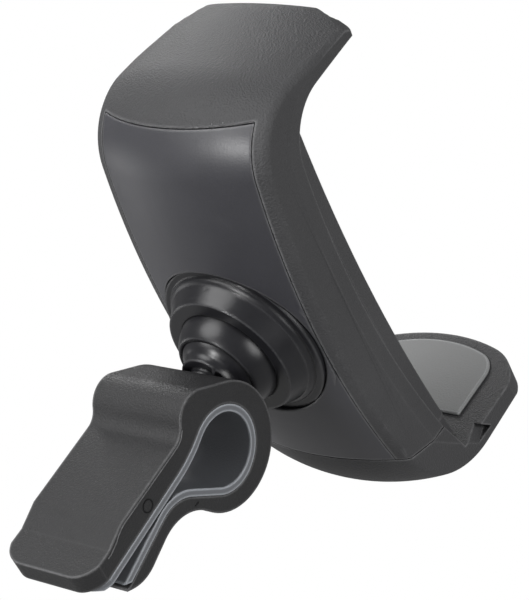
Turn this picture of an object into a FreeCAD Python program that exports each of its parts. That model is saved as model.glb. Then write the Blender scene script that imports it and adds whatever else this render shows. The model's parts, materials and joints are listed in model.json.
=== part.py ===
import FreeCAD, Part
import math
import os
import Sketcher
from FreeCAD import Placement, Rotation, Vector

# Air vent phone holder: a sprung cradle on a ball joint, carried by a clip that pinches a vent blade.
# Axes: +Z up along the cradle, +Y towards the vent, -Y towards the phone, X across.
# The origin is the middle of the blade slot, where the clip's two leaves pinch the blade.
# Cradle, socket and ball are drawn about the ball's centre and placed ballReach in front of the slot.

doc = FreeCAD.newDocument("VentPhoneHolder")

# Dimensions in millimetres and degrees: alias, value or formula, what it is.
sizeTable = [
    ("ballReach", "=loopRadius - stemSink - loopY + footY", "ball centre in front of the blade slot"),
    ("ballRadius", 7.0, "ball"),
    ("runFit", 0.08, "radial clearance of running fits"),
    ("seamGap", 0.15, "open seam between moulded covers"),
    # Cradle seen from the side, at mid width
    ("backY", -1.6, "furthest point of the back"),
    ("backRadius", 133.0, "long curve of the back"),
    ("backMidZ", 1.2, "height of that point"),
    ("cornerRadius", 13.4, "shoulder between back and upper jaw"),
    ("jawThickness", 6.5, "thickness of the upper jaw at its nose"),
    ("jawTopZ", "=gripTopZ + jawThickness", "top of the upper jaw at its nose"),
    ("jawTopAngle", -2.0, "rise of that top towards the nose"),
    ("noseY", -35.0, "nose of the upper jaw"),
    ("noseTopRadius", 4.9, "rolled top edge of the nose"),
    ("noseLowRadius", 0.8, "lower edge of the nose"),
    ("gripTopZ", 31.8, "inner face of the upper jaw at the corner"),
    ("gripAngle", 3.5, "rise of that face towards the nose"),
    ("innerRadius", 9.4, "inner corner of the frame"),
    ("frontY", -13.1, "front edge of the side bands at mid height"),
    ("frontRadius", 140.0, "long curve of that edge"),
    ("frontMidZ", 4.0, "height of its middle"),
    ("partingZ", -24.8, "parting line of the lower jaw where it leaves the back"),
    ("partingAngle", 16.7, "slope of the parting line"),
    # Cradle seen from above
    ("crownRadius", 42.0, "crown of the back across the width"),
    ("coverInset", 1.3, "visible rim of the frame beside the cover"),
    ("coverHalf", "=shoulderHalf - coverInset", "half width of the back cover"),
    ("shoulderInset", 0.9, "from the widest line in to the crown's edge"),
    ("shoulderHalf", "=frameHalf - shoulderInset", "half width where the crown meets the side"),
    ("frameHalf", 16.2, "half width at the widest line"),
    ("shoulderRound", 1.2, "soft edge between crown and side"),
    ("sideDepth", 8.0, "from the back to the widest line"),
    ("bevelWidth", 1.0, "front bevel of the side bands, across"),
    ("bevelDepth", 3.3, "the same bevel in depth"),
    ("nosePlanRadius", 2.6, "corners of the upper nose from above, at the bottom"),
    ("noseTopCorner", 14.0, "the same corners at the top of the nose"),
    ("noseTopBack", 1.4, "how far those corners start behind the nose"),
    ("noseTopLean", 0.6, "lean of those corners, across and back per millimetre up"),
    ("nosePlanCrown", 60.0, "crown of the upper nose from above"),
    ("cutRoom", 5.0, "how far a cutting outline stands clear of the piece"),
    ("cutLength", 200.0, "length of a cut that goes right through"),
    ("sideMargin", 0.3, "how far an outline that rounds corners stands outside the sides"),
    ("seatFit", 0.05, "gap between pieces that rest on each other along a curve"),
    # Back cover and front wall
    ("coverWall", 1.8, "wall of the back cover"),
    ("seamDrop", 3.3, "from the top of the upper jaw down to that seam"),
    ("coverTopZ", "=jawTopZ - seamDrop", "top seam of the cover at mid width"),
    ("coverTopY", -8.0, "where that height is taken"),
    ("coverTopAngle", 10.0, "fall of the top seam towards the phone"),
    ("wallRearY", -11.1, "rear face of the frame's front wall"),
    ("cavityDrop", 6.8, "from the upper jaw's inner face down to the cavity"),
    ("cavityTopZ", "=gripTopZ - cavityDrop", "top of the cavity at the front wall"),
    ("cavityRamp", "=2.4 * coverWall", "depth over which the cavity's roof rises into the jaw"),
    ("cavityRise", 6.0, "height of that rise"),
    ("bossInset", 3.6, "from the cover's edge in to its screws"),
    ("bossX", "=coverHalf - bossInset", "cover screws, from the middle"),
    ("bossZ", 19.0, "cover screws, above and below the ball"),
    ("bossRadius", 1.9, "screw bosses of the cover"),
    ("bossLength", 5.7, "length of those bosses"),
    ("bossHole", 5.0, "depth of their screw holes"),
    ("screwRadius", 0.9, "shank of the small screws"),
    ("screwHeadRadius", 1.6, "head of the small screws"),
    ("screwHeadHeight", 1.1, "height of those heads"),
    ("screwClear", 0.15, "clearance hole round a shank"),
    ("screwSeatY", -13.4, "seat of the cover screws' heads"),
    ("screwLength", 6.4, "shank of the cover screws"),
    ("screwSocket", 0.75, "driver recess across its corners, halved"),
    ("screwSocketDepth", 0.6, "depth of that recess"),
    ("windowHalf", 8.6, "half width of the window in the front wall"),
    ("windowTopZ", 22.0, "top of that window"),
    # Backrest panel
    ("panelFrontY", -17.8, "face the phone leans on, at its furthest back"),
    ("panelRadius", 260.0, "hollow of that face"),
    ("panelMidZ", 5.0, "height of its deepest point"),
    ("panelTopDrop", 3.3, "from the upper jaw's inner face down to the panel"),
    ("panelTopZ", "=gripTopZ - panelTopDrop", "top end of the panel, in the frame's inner corner"),
    ("panelTopFall", 1.0, "fall of that end towards the phone"),
    ("panelInset", 1.9, "from the widest line in to the panel's foot"),
    ("panelHalf", "=frameHalf - panelInset", "half width at its foot"),
    ("panelLean", 1.55, "lean of the panel's sides, across"),
    ("panelFaceHalf", "=panelHalf - panelLean", "half width at its face"),
    ("tongueGap", 0.25, "clearance in front of the sliding tongue"),
    ("panelFloorY", "=tongueFrontY - tongueGap", "floor of the panel's channel"),
    ("channelWall", 0.55, "wall beside the channel at the panel's face"),
    ("channelHalf", "=panelFaceHalf - channelWall", "half width of the channel"),
    ("channelTopZ", 20.9, "top of the channel"),
    # Lower jaw
    ("jawDepth", 6.4, "from the seat down to the underside at its nose"),
    ("jawLowZ", "=seatZ - jawDepth", "underside of the lower jaw at its nose"),
    ("jawLowAngle", 3.0, "rise of the underside towards the nose"),
    ("jawLowCorner", 18.6, "corner between back and underside"),
    ("lowNoseY", -40.4, "nose of the lower jaw"),
    ("lowNoseRadius", 4.0, "lower edge of that nose"),
    ("lowNoseCrown", 30.0, "crown of that nose from above"),
    ("seatZ", -34.2, "seat that carries the lower pad"),
    ("jawWallY", -20.0, "wall of the lower jaw behind the seat"),
    ("jawCornerRise", 4.2, "from the seat up to where that corner starts"),
    ("jawCornerZ", "=seatZ + jawCornerRise", "height where that corner starts"),
    ("cornerMargin", 0.1, "how far the corner reaches below the side bevel"),
    ("jawCornerRadius", "=jawCornerRise + jawBevelDepth + cornerMargin", "the corner's radius"),
    ("bevelFade", 0.9, "run of the fading front bevel, per millimetre down"),
    ("bevelFadeLength", 10.0, "height over which it fades"),
    ("wallLean", 0.13, "lean of the wall towards the phone, per millimetre down"),
    ("noseSlope", 1.0, "from the nose back to the front edge of the seat"),
    ("seatCorner", 6.0, "corners of the seat from above"),
    ("lowNosePlanRadius", 10.0, "corners of that nose from above"),
    ("jawBevelWidth", 4.2, "side bevel of the lower jaw, across"),
    ("jawBevelDepth", 4.2, "the same bevel, downwards"),
    # Sliding tongue and springs
    ("tongueHalf", 8.0, "half width of the tongue"),
    ("tongueFrontY", -15.9, "front face of the tongue"),
    ("tongueRearY", -13.4, "rear face of the tongue"),
    ("tongueTopZ", 17.0, "top of the tongue"),
    ("springX", 4.6, "springs, from the middle"),
    ("springRadius", 1.5, "outside of the springs"),
    ("springWire", 0.4, "wire of the springs"),
    ("springY", -11.75, "springs, behind the ball's centre"),
    ("springTopZ", 18.9, "upper spring posts"),
    ("springLowZ", -20.0, "lower spring posts"),
    ("postRadius", 0.9, "spring posts"),
    ("postEndY", -10.4, "end of the spring posts"),
    ("postRoot", 0.4, "how deep the spring posts stand in their wall"),
    ("eyeReach", 1.15, "from a spring post to the coil"),
    ("postFit", 0.1, "clearance round the spring posts and the socket screws' heads"),
    # Pads
    ("padMargin", 0.5, "from the side bevel in to the lower pad"),
    ("padHalf", "=frameHalf - jawBevelWidth - padMargin", "half width of the lower pad"),
    ("padBackY", -24.0, "rear edge of the lower pad"),
    ("padFrontMargin", 0.7, "from the seat's front edge to the lower pad"),
    ("padFrontY", "=lowNoseY + noseSlope + padFrontMargin", "front edge of the lower pad at mid width"),
    ("padCrown", 24.0, "crown of its front edge"),
    ("padCorner", 4.8, "corners of the lower pad"),
    ("padSink", 0.6, "depth of the pads' recesses"),
    ("padProud", 0.45, "how far the pads stand proud"),
    ("topPadInset", 5.2, "from the widest line in to the upper pad"),
    ("topPadHalf", "=frameHalf - topPadInset", "half width of the upper pad"),
    ("topPadBackY", -24.2, "rear edge of the upper pad"),
    ("topPadMargin", 3.5, "from the nose back to the upper pad"),
    ("topPadFrontY", "=noseY + topPadMargin", "front edge of the upper pad"),
    # Socket
    ("flangeRim", 1.5, "width of the flange round the cone"),
    ("flangeRadius", "=stepRadius + flangeRim", "flange of the socket"),
    ("flangeFaceY", -3.0, "outer face of the flange"),
    ("recessY", -3.9, "floor of the cover's recess"),
    ("bossFloorY", -6.4, "inner face of the cover round the socket"),
    ("baseHole", 2.4, "depth of the screw holes in the socket"),
    ("coneRun", 1.75, "spread of the cone from top to foot"),
    ("stepRadius", "=coneTopRadius + coneRun", "foot of the socket's cone"),
    ("stepRise", 0.9, "rounded foot of that cone"),
    ("stepOut", 0.3, "how far that rounding starts outside the cone's foot"),
    ("stepIn", 0.4, "and how far inside it ends"),
    ("coneRim", 2.25, "width of the cone's flat top"),
    ("coneTopRadius", "=collarRadius + coneRim", "top of the cone"),
    ("socketFaceY", 0.65, "face of the cone"),
    ("collarWall", 1.0, "wall of the collar at the ball's middle"),
    ("collarRadius", "=ballRadius + collarWall", "outside of the collar"),
    ("collarTopY", 3.75, "rim of the collar"),
    ("collarDome", 6.0, "rounding of the collar's outside"),
    ("rimWidth", 0.55, "flat rim round that opening"),
    ("lipReach", 0.8, "reach of the lip that holds the collar in"),
    ("lipRadius", "=collarRadius + lipReach", "lip that holds the collar in"),
    ("lipRearY", -2.0, "front of that lip, against the socket's step"),
    ("seatTopY", -4.1, "rim of the ball's lower seat"),
    ("seatWall", 1.4, "wall of the seat beside the ball"),
    ("seatRadius", "=ballRadius + seatWall", "outside of that seat"),
    ("seatFloor", 1.2, "floor of the seat behind the ball"),
    ("seatEndY", "=-ballRadius - seatFloor", "back of that seat"),
    ("washerInset", 0.6, "from the seat's edge in to the washer's"),
    ("washerRadius", "=seatRadius - washerInset", "spring washer under the seat"),
    ("washerInner", 4.2, "hole of that washer"),
    ("retainerRim", 3.0, "width of the retainer's rim"),
    ("retainerRadius", "=retainerBore + retainerRim", "retainer behind the seat"),
    ("retainerWall", 1.0, "floor of the retainer"),
    ("retainerY", "=retainerFloorY - retainerWall", "outer face of the retainer"),
    ("washerThickness", 0.6, "thickness of the spring washer"),
    ("retainerFloorY", "=seatEndY - washerThickness", "inside of its floor"),
    ("retainerGap", 0.2, "clearance round the seat"),
    ("retainerBore", "=seatRadius + retainerGap", "inside of its rim"),
    ("socketScrewCircle", "=(retainerBore + retainerRadius) / 2", "socket screws, from the axis"),
    ("socketScrewSeatY", "=retainerY + socketScrewHead", "seat of the socket screws' heads"),
    ("socketScrewLength", 7.2, "shank of the socket screws"),
    ("socketScrewHead", 0.9, "height of their heads"),
    ("socketScrewHeadRadius", 1.15, "radius of their heads"),
    ("coverBore", 8.5, "hole of the cover under the socket"),
    ("bossRim", 1.5, "width of the cover's ring round the flange"),
    ("coverBoss", "=flangeRadius + bossRim", "thickened ring of the cover round the socket"),
    # Ball stem
    ("shoulderRadius", 4.5, "shoulder of the stem at the clip"),
    ("footRadius", 3.0, "foot of the stem in the clip"),
    ("ballEndY", 4.3, "where the ball runs into its neck"),
    ("shoulderY", 5.1, "front of the shoulder"),
    ("footY", 6.0, "back of the shoulder, on the clip"),
    ("footEndY", 6.9, "end of the foot"),
    ("stemFloor", 0.8, "wall of the clip under that head"),
    ("stemSeatY", "=footEndY + stemFloor", "seat of the stem screw's head"),
    ("stemScrewHead", 2.6, "head of the stem's screw"),
    ("stemHeadHeight", 0.7, "height of that head"),
    ("stemScrewRadius", 1.25, "shank of the stem's screw"),
    ("stemScrewLength", 6.0, "shank of the stem's screw, length"),
    # Clip, drawn about the blade slot
    ("clipHalf", 8.4, "half width of the clip"),
    ("loopY", -13.7, "lower arc of the loop, centre"),
    ("loopZ", -2.55, "the same, height"),
    ("loopRadius", 9.25, "outside of the loop"),
    ("stemSink", 0.95, "depth of the stem's seat in the loop"),
    ("crestShift", 1.5, "upper arc behind the lower one"),
    ("crestY", "=loopY + crestShift", "upper arc of the loop, centre"),
    ("crestZ", 4.7, "the same, height"),
    ("crestRadius", 4.0, "outside of the upper arc"),
    ("napeRadius", 2.8, "hollow between loop and upper leaf"),
    ("leafAngle", 4.0, "fall of the upper leaf"),
    ("leafBendY", 7.0, "bend of the upper leaf"),
    ("leafBendZ", 4.15, "height of that bend"),
    ("leafStepY", 10.8, "foot of the step beyond that bend"),
    ("leafStepZ", 2.8, "height of that foot"),
    ("leafEndY", 16.0, "end of the upper leaf"),
    ("leafEndZ", 2.5, "top of that end"),
    ("bellyY", 0.4, "hollow of the lower leaf, centre"),
    ("bellyZ", -11.1, "the same, height"),
    ("bellyRadius", 7.0, "hollow of the lower leaf"),
    ("flareY", 8.0, "turned-up end of the lower leaf, centre"),
    ("flareZ", 0.6, "the same, height"),
    ("flareRadius", 6.0, "turned-up end of the lower leaf"),
    ("lowLeafEndY", 10.8, "end of the lower leaf"),
    ("boreShift", 0.6, "the loop's inside behind its outside"),
    ("boreY", "=loopY + boreShift", "inside of the loop, lower centre"),
    ("boreZ", -2.5, "the same, height"),
    ("loopWall", 2.85, "wall of the loop without its liner"),
    ("boreRadius", "=loopRadius - loopWall", "inside of the loop"),
    ("throatRadius", 20.0, "long curve between loop and upper leaf, inside"),
    ("leafInnerAngle", 6.0, "fall of the upper leaf's inside"),
    ("leafInnerEndZ", -0.55, "inside of the upper leaf at its end"),
    ("mouthAngle", 15.0, "slope of the lower leaf's inside at its end"),
    ("bumpY", -0.3, "swell of the lower leaf towards the slot, centre"),
    ("bumpZ", -7.3, "the same, height"),
    ("bumpRadius", 6.0, "that swell"),
    ("mouthY", 10.8, "inside end of the lower leaf"),
    ("mouthZ", -3.95, "the same, height"),
    ("linerThickness", 1.1, "rubber liner"),
    ("linerHalf", "=clipHalf", "half width of the liner"),
    ("linerShort", 0.4, "how far the liner ends before the leaves"),
    ("leafPlanRadius", 4.0, "corners of the leaves from above"),
    ("leafMargin", 0.2, "how far their outline stands outside the sides"),
]


def fillSheet(sheet):
    for row, (alias, _, note) in enumerate(sizeTable, start=1):
        sheet.set(f"A{row}", note)
        sheet.setAlias(f"B{row}", alias)
    for row, (_, value, _) in enumerate(sizeTable, start=1):
        sheet.set(f"B{row}", str(value))


sizes = doc.addObject("Spreadsheet::Sheet", "Sizes")
fillSheet(sizes)
doc.recompute()


def evaluate(owner, expression):
    value = owner.evalExpression(expression)
    return float(getattr(value, "Value", value))


# Sketch helpers

def newBody(label, atBall=True):
    body = doc.addObject("PartDesign::Body", label)
    body.Label = label
    if atBall:
        body.setExpression("Placement.Base.y", "-Sizes.ballReach")
    return body


def originPlane(body, role):
    return next(item for item in body.Origin.OriginFeatures if item.Role == role)


def newSketch(body, name, role, offset=None):
    sketch = body.newObject("Sketcher::SketchObject", name)
    sketch.AttachmentSupport = [(originPlane(body, role), "")]
    sketch.MapMode = "FlatFace"
    if offset:
        sketch.setExpression("AttachmentOffset.Base.z", offset)
        doc.recompute([sketch])
    return sketch


def sideSketch(body, name):
    """Sketch seen from the side: its x is the body's Y, its y is the body's Z."""
    return newSketch(body, name, "YZ_Plane")


def faceSketch(body, name, depth):
    """Sketch across the body at the given Y, seen from the phone: x is X, y is Z."""
    return newSketch(body, name, "XZ_Plane", offset=f"-({depth})")


def planSketch(body, name, height=None):
    """Sketch seen from above: x is X, y is Y."""
    return newSketch(body, name, "XY_Plane", offset=height)


def addBound(sketch, kind, arguments, expression):
    value = evaluate(sketch, expression)
    if kind == "Angle":
        value = math.radians(value)
    index = sketch.addConstraint(Sketcher.Constraint(kind, *arguments, value))
    sketch.setExpression(f"Constraints[{index}]", expression)


def arcBetween(start, end, radius, turn):
    chord = end - start
    middle = (start + end) / 2
    reach = math.sqrt(max(radius ** 2 - chord.Length ** 2 / 4, 0.0))
    left = Vector(-chord.y, chord.x, 0).normalize()
    centre = middle + left * (reach if turn == "left" else -reach)
    first, last = (start, end) if turn == "left" else (end, start)
    startAngle = math.atan2(first.y - centre.y, first.x - centre.x)
    endAngle = math.atan2(last.y - centre.y, last.x - centre.x)
    if endAngle <= startAngle:
        endAngle += 2 * math.pi
    return Part.ArcOfCircle(Part.Circle(centre, Vector(0, 0, 1), radius), startAngle, endAngle)


def addOutline(sketch, steps, closed=True):
    """Chains lines and arcs. A step is the corner where it starts and how it goes on from there:
    at: the corner, a starting guess for the solver where it isn't held,
    hold: which of its coordinates are set, go: line, left or right,
    radius and centre of an arc, angle of a line, smooth: tangent to the step before,
    long: the arc is more than a half turn."""
    corners = [Vector(evaluate(sketch, s["at"][0]), evaluate(sketch, s["at"][1]), 0) for s in steps]
    count = len(steps) if closed else len(steps) - 1
    base = sketch.GeometryCount
    for index in range(count):
        start, end = corners[index], corners[(index + 1) % len(corners)]
        turn = steps[index].get("go", "line")
        if turn == "line":
            sketch.addGeometry(Part.LineSegment(start, end))
        elif steps[index].get("long"):
            centre = Vector(*[evaluate(sketch, part) for part in steps[index]["centre"]], 0)
            first, last = (start, end) if turn == "left" else (end, start)
            startAngle = math.atan2(first.y - centre.y, first.x - centre.x)
            endAngle = math.atan2(last.y - centre.y, last.x - centre.x)
            if endAngle <= startAngle:
                endAngle += 2 * math.pi
            circle = Part.Circle(centre, Vector(0, 0, 1), evaluate(sketch, steps[index]["radius"]))
            sketch.addGeometry(Part.ArcOfCircle(circle, startAngle, endAngle))
        else:
            radius = evaluate(sketch, steps[index]["radius"])
            sketch.addGeometry(arcBetween(start, end, radius, turn))
    ends = [(2, 1) if s.get("go") == "right" else (1, 2) for s in steps]
    for index in range(count):
        last = index - 1
        if last < 0 and not closed:
            continue
        last %= count
        kind = "Tangent" if steps[index].get("smooth") else "Coincident"
        joint = (base + last, ends[last][1], base + index, ends[index][0])
        sketch.addConstraint(Sketcher.Constraint(kind, *joint))
    for index, step in enumerate(steps):
        owner = (base + index, ends[index][0]) if index < count else (base + index - 1, ends[index - 1][1])
        hold = step.get("hold", "")
        if "x" in hold:
            addBound(sketch, "DistanceX", (-1, 1, *owner), step["at"][0])
        if "y" in hold:
            addBound(sketch, "DistanceY", (-1, 1, *owner), step["at"][1])
        if index >= count:
            continue
        if "centre" in step and not step.get("free"):
            addBound(sketch, "DistanceX", (-1, 1, base + index, 3), step["centre"][0])
            addBound(sketch, "DistanceY", (-1, 1, base + index, 3), step["centre"][1])
        if step.get("free") == "y":
            addBound(sketch, "DistanceX", (-1, 1, base + index, 3), step["centre"][0])
        if "radius" in step:
            addBound(sketch, "Radius", (base + index,), step["radius"])
        if "angle" in step:
            addBound(sketch, "Angle", (base + index,), step["angle"])
    if sketch.solve() != 0 or not sketch.FullyConstrained:
        raise RuntimeError(f"{sketch.Name} is not solved")


def polygon(sketch, corners):
    addOutline(sketch, [dict(at=corner, hold="xy") for corner in corners])


def addCircles(sketch, circles):
    for x, y, radius in circles:
        centre = Vector(evaluate(sketch, x), evaluate(sketch, y), 0)
        index = sketch.addGeometry(Part.Circle(centre, Vector(0, 0, 1), evaluate(sketch, radius)))
        addBound(sketch, "DistanceX", (-1, 1, index, 3), x)
        addBound(sketch, "DistanceY", (-1, 1, index, 3), y)
        addBound(sketch, "Radius", (index,), radius)


def rectangle(sketch, left, low, right, high):
    polygon(sketch, [(left, low), (right, low), (right, high), (left, high)])


# Feature helpers

def pipe(body, name, profile, spine, cut=True):
    kind = "PartDesign::SubtractivePipe" if cut else "PartDesign::AdditivePipe"
    feature = body.newObject(kind, name)
    feature.Profile = profile
    feature.Spine = (spine, [])
    feature.Mode = "Standard"
    profile.Visibility = False
    return feature


def pad(body, name, sketch, length, midplane=False, reverse=False):
    feature = body.newObject("PartDesign::Pad", name)
    feature.Profile = sketch
    feature.setExpression("Length", length)
    feature.Midplane = midplane
    feature.Reversed = reverse
    return feature


def pocket(body, name, sketch, length="Sizes.cutLength", midplane=False, reverse=False):
    feature = body.newObject("PartDesign::Pocket", name)
    feature.Profile = sketch
    feature.setExpression("Length", length)
    feature.Midplane = midplane
    feature.Reversed = reverse
    return feature


def throughPocket(body, name, sketch):
    return pocket(body, name, sketch, midplane=True)


def turned(body, name, steps):
    """Turns an outline about the body's Y axis; the outline's y is the radius."""
    sketch = sideSketch(body, name + "Outline")
    addOutline(sketch, steps)
    feature = body.newObject("PartDesign::Revolution", name)
    feature.Profile = sketch
    feature.ReferenceAxis = (sketch, ["H_Axis"])
    feature.Angle = 360
    return feature


def turnedPolygon(body, name, corners):
    return turned(body, name, [dict(at=corner, hold="xy") for corner in corners])


def mirrored(body, name, feature):
    copy = body.newObject("PartDesign::Mirrored", name)
    copy.Originals = [feature]
    copy.MirrorPlane = (originPlane(body, "YZ_Plane"), [""])
    body.Tip = copy
    return copy


# Curves that several cradle pieces share, as corners and steps of an outline

backCentre = ("Sizes.backY - Sizes.backRadius", "Sizes.backMidZ")
frontCentre = ("Sizes.frontY - Sizes.frontRadius", "Sizes.frontMidZ")


def backAt(height):
    return f"(Sizes.backY - ({height} - Sizes.backMidZ)^2 / (2 * Sizes.backRadius))"


def frontAt(height):
    return f"(Sizes.frontY - ({height} - Sizes.frontMidZ)^2 / (2 * Sizes.frontRadius))"


shoulderZ = "(Sizes.jawTopZ - Sizes.cornerRadius)"
topStartY = f"({backAt(shoulderZ)} - Sizes.cornerRadius)"
innerZ = "(Sizes.gripTopZ - Sizes.innerRadius)"
gripEndY = f"({frontAt(innerZ)} - Sizes.innerRadius)"
noseTopY = "(Sizes.noseY + Sizes.noseTopRadius * (1 + sin(Sizes.jawTopAngle)))"
lowCornerZ = "(Sizes.jawLowZ + 0.78 * Sizes.jawLowCorner)"
lowStartY = f"({backAt(lowCornerZ)} - 0.9 * Sizes.jawLowCorner)"
lowNoseLineY = "(Sizes.lowNoseY + Sizes.lowNoseRadius * (1 - sin(Sizes.jawLowAngle)))"
midBack = ("Sizes.backY", "Sizes.backMidZ")
midFront = ("Sizes.frontY", "Sizes.frontMidZ")


def backStep(at, hold="", go="left", smooth=False):
    return dict(at=at, hold=hold, go=go, radius="Sizes.backRadius", centre=backCentre, smooth=smooth)


def frontStep(at, hold="", go="left", smooth=False):
    return dict(at=at, hold=hold, go=go, radius="Sizes.frontRadius", centre=frontCentre, smooth=smooth)


def cornerStep():
    return dict(at=(backAt(shoulderZ), shoulderZ), go="left", radius="Sizes.cornerRadius", smooth=True)


bandEndZ = "(Sizes.partingZ - 3.5)"
jawCornerY = frontAt("Sizes.jawCornerZ")


def frameOutline(sketch):
    addOutline(sketch, [
        backStep((backAt("Sizes.partingZ"), "Sizes.partingZ"), hold="y"),
        cornerStep(),
        dict(at=(topStartY, "Sizes.jawTopZ"), angle="180 - Sizes.jawTopAngle", smooth=True),
        dict(at=(noseTopY, "Sizes.jawTopZ"), hold="y", go="left",
             radius="Sizes.noseTopRadius", smooth=True),
        dict(at=("Sizes.noseY", "Sizes.jawTopZ - Sizes.noseTopRadius"), hold="x", smooth=True),
        dict(at=("Sizes.noseY", "Sizes.gripTopZ + Sizes.noseLowRadius"), hold="x", go="left",
             radius="Sizes.noseLowRadius", smooth=True),
        dict(at=("Sizes.noseY + Sizes.noseLowRadius", "Sizes.gripTopZ"), angle="-Sizes.gripAngle",
             smooth=True),
        dict(at=(gripEndY, "Sizes.gripTopZ"), hold="y", go="right", radius="Sizes.innerRadius",
             smooth=True),
        frontStep((frontAt(innerZ), innerZ), go="right", smooth=True),
        dict(at=(frontAt(bandEndZ), bandEndZ), angle="Sizes.partingAngle"),
    ])


def lowerJawOutline(sketch):
    addOutline(sketch, [
        dict(at=(backAt("Sizes.partingZ"), "Sizes.partingZ - Sizes.seamGap"), hold="y",
             angle="180 + Sizes.partingAngle"),
        frontStep((frontAt(bandEndZ), bandEndZ), go="right"),
        dict(at=(frontAt("Sizes.seatZ"), "Sizes.seatZ"), hold="y", angle="180"),
        dict(at=("Sizes.lowNoseY", "Sizes.seatZ"), hold="x"),
        dict(at=("Sizes.lowNoseY", "Sizes.jawLowZ + Sizes.lowNoseRadius"), hold="x", go="left",
             radius="Sizes.lowNoseRadius", smooth=True),
        dict(at=(lowNoseLineY, "Sizes.jawLowZ"), hold="y", angle="-Sizes.jawLowAngle", smooth=True),
        dict(at=(lowStartY, "Sizes.jawLowZ"), go="left", radius="Sizes.jawLowCorner", smooth=True),
        backStep((backAt(lowCornerZ), lowCornerZ), smooth=True),
    ])


def crownCorners():
    """Crown and soft shoulder of the back across the width, from left to right."""
    shoulderY = "(Sizes.backY - Sizes.shoulderHalf^2 / (2 * Sizes.crownRadius))"
    edgeX = "(Sizes.shoulderHalf + Sizes.shoulderRound * 0.6)"
    lowY = "(Sizes.backY - Sizes.sideDepth)"
    farX = "(Sizes.frameHalf + Sizes.cutRoom)"
    farY = "(Sizes.backY + Sizes.cutRoom)"
    return [
        dict(at=("-Sizes.shoulderHalf", shoulderY), hold="x", go="right", radius="Sizes.crownRadius",
             centre=("0", "Sizes.backY - Sizes.crownRadius"), smooth=True),
        dict(at=("Sizes.shoulderHalf", shoulderY), hold="x", go="right",
             radius="Sizes.shoulderRound", smooth=True),
        dict(at=(edgeX, f"{shoulderY} - Sizes.shoulderRound"), smooth=True),
        dict(at=("Sizes.frameHalf", lowY), hold="xy"),
        dict(at=(farX, lowY), hold="xy"),
        dict(at=(farX, farY), hold="xy"),
        dict(at=(f"-{farX}", farY), hold="xy"),
        dict(at=(f"-{farX}", lowY), hold="xy"),
        dict(at=("-Sizes.frameHalf", lowY), hold="xy"),
        dict(at=(f"-{edgeX}", f"{shoulderY} - Sizes.shoulderRound"), go="right",
             radius="Sizes.shoulderRound", smooth=True),
    ]


def upperPath(body, name):
    """Mid-width line of the outer surface from the back's middle over the upper jaw."""
    sketch = sideSketch(body, name)
    addOutline(sketch, [
        backStep(midBack, hold="y"),
        cornerStep(),
        dict(at=(topStartY, "Sizes.jawTopZ"), angle="180 - Sizes.jawTopAngle", smooth=True),
        dict(at=(noseTopY, "Sizes.jawTopZ"), hold="xy", angle="180 - Sizes.jawTopAngle"),
        dict(at=("Sizes.noseY - Sizes.cutRoom", "Sizes.jawTopZ"), hold="x"),
    ], closed=False)
    return sketch


def lowerPath(body, name):
    """The same line from the back's middle down under the lower jaw."""
    sketch = sideSketch(body, name)
    addOutline(sketch, [
        backStep(midBack, hold="y", go="right"),
        dict(at=(backAt(lowCornerZ), lowCornerZ), go="right", radius="Sizes.jawLowCorner", smooth=True),
        dict(at=(lowStartY, "Sizes.jawLowZ"), angle="180 - Sizes.jawLowAngle", smooth=True),
        dict(at=(lowNoseLineY, "Sizes.jawLowZ"), hold="xy", angle="180 - Sizes.jawLowAngle"),
        dict(at=("Sizes.lowNoseY - Sizes.cutRoom", "Sizes.jawLowZ"), hold="x"),
    ], closed=False)
    return sketch


def cutCrown(body, name, path):
    """Cuts away what stands outside the crowned back and the tapered sides."""
    section = planSketch(body, name + "Section", "Sizes.backMidZ")
    addOutline(section, crownCorners())
    return pipe(body, name, section, path)


def cutSides(body, name, section, path):
    """Cuts a section along a path and does the same on the other side."""
    feature = pipe(body, name, section, path)
    doc.recompute()
    mirrored(body, name + "Pair", feature)


def bevelSection(body, name, height, innerX, innerY, outerX, outerY):
    """Triangle outside a straight bevel between two points of the section at a given height."""
    sketch = planSketch(body, name, height)
    run = f"({outerX} - {innerX}) / ({outerY} - {innerY})"
    polygon(sketch, [
        (f"{innerX} - {run}", f"{innerY} - 1"),
        (f"{outerX} + 2", f"{innerY} - 1"),
        (f"{outerX} + 2", f"{outerY} + 1"),
        (f"{outerX} + {run}", f"{outerY} + 1"),
    ])
    return sketch


def frontBevel(body, name):
    return bevelSection(body, name, "Sizes.frontMidZ", "(Sizes.frameHalf - Sizes.bevelWidth)",
                        "Sizes.frontY", "Sizes.frameHalf", "(Sizes.frontY + Sizes.bevelDepth)")


bevelEndZ = "(Sizes.partingZ - 2 * Sizes.cutRoom)"


def cutLowBevel(body):
    """Front bevel of the side bands, from mid height down."""
    path = sideSketch(body, "BevelDownPath")
    addOutline(path, [
        frontStep(midFront, hold="y", go="right"),
        dict(at=(frontAt(bevelEndZ), bevelEndZ), hold="y"),
    ], closed=False)
    cutSides(body, "BevelDown", frontBevel(body, "BevelDownSection"), path)


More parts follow.
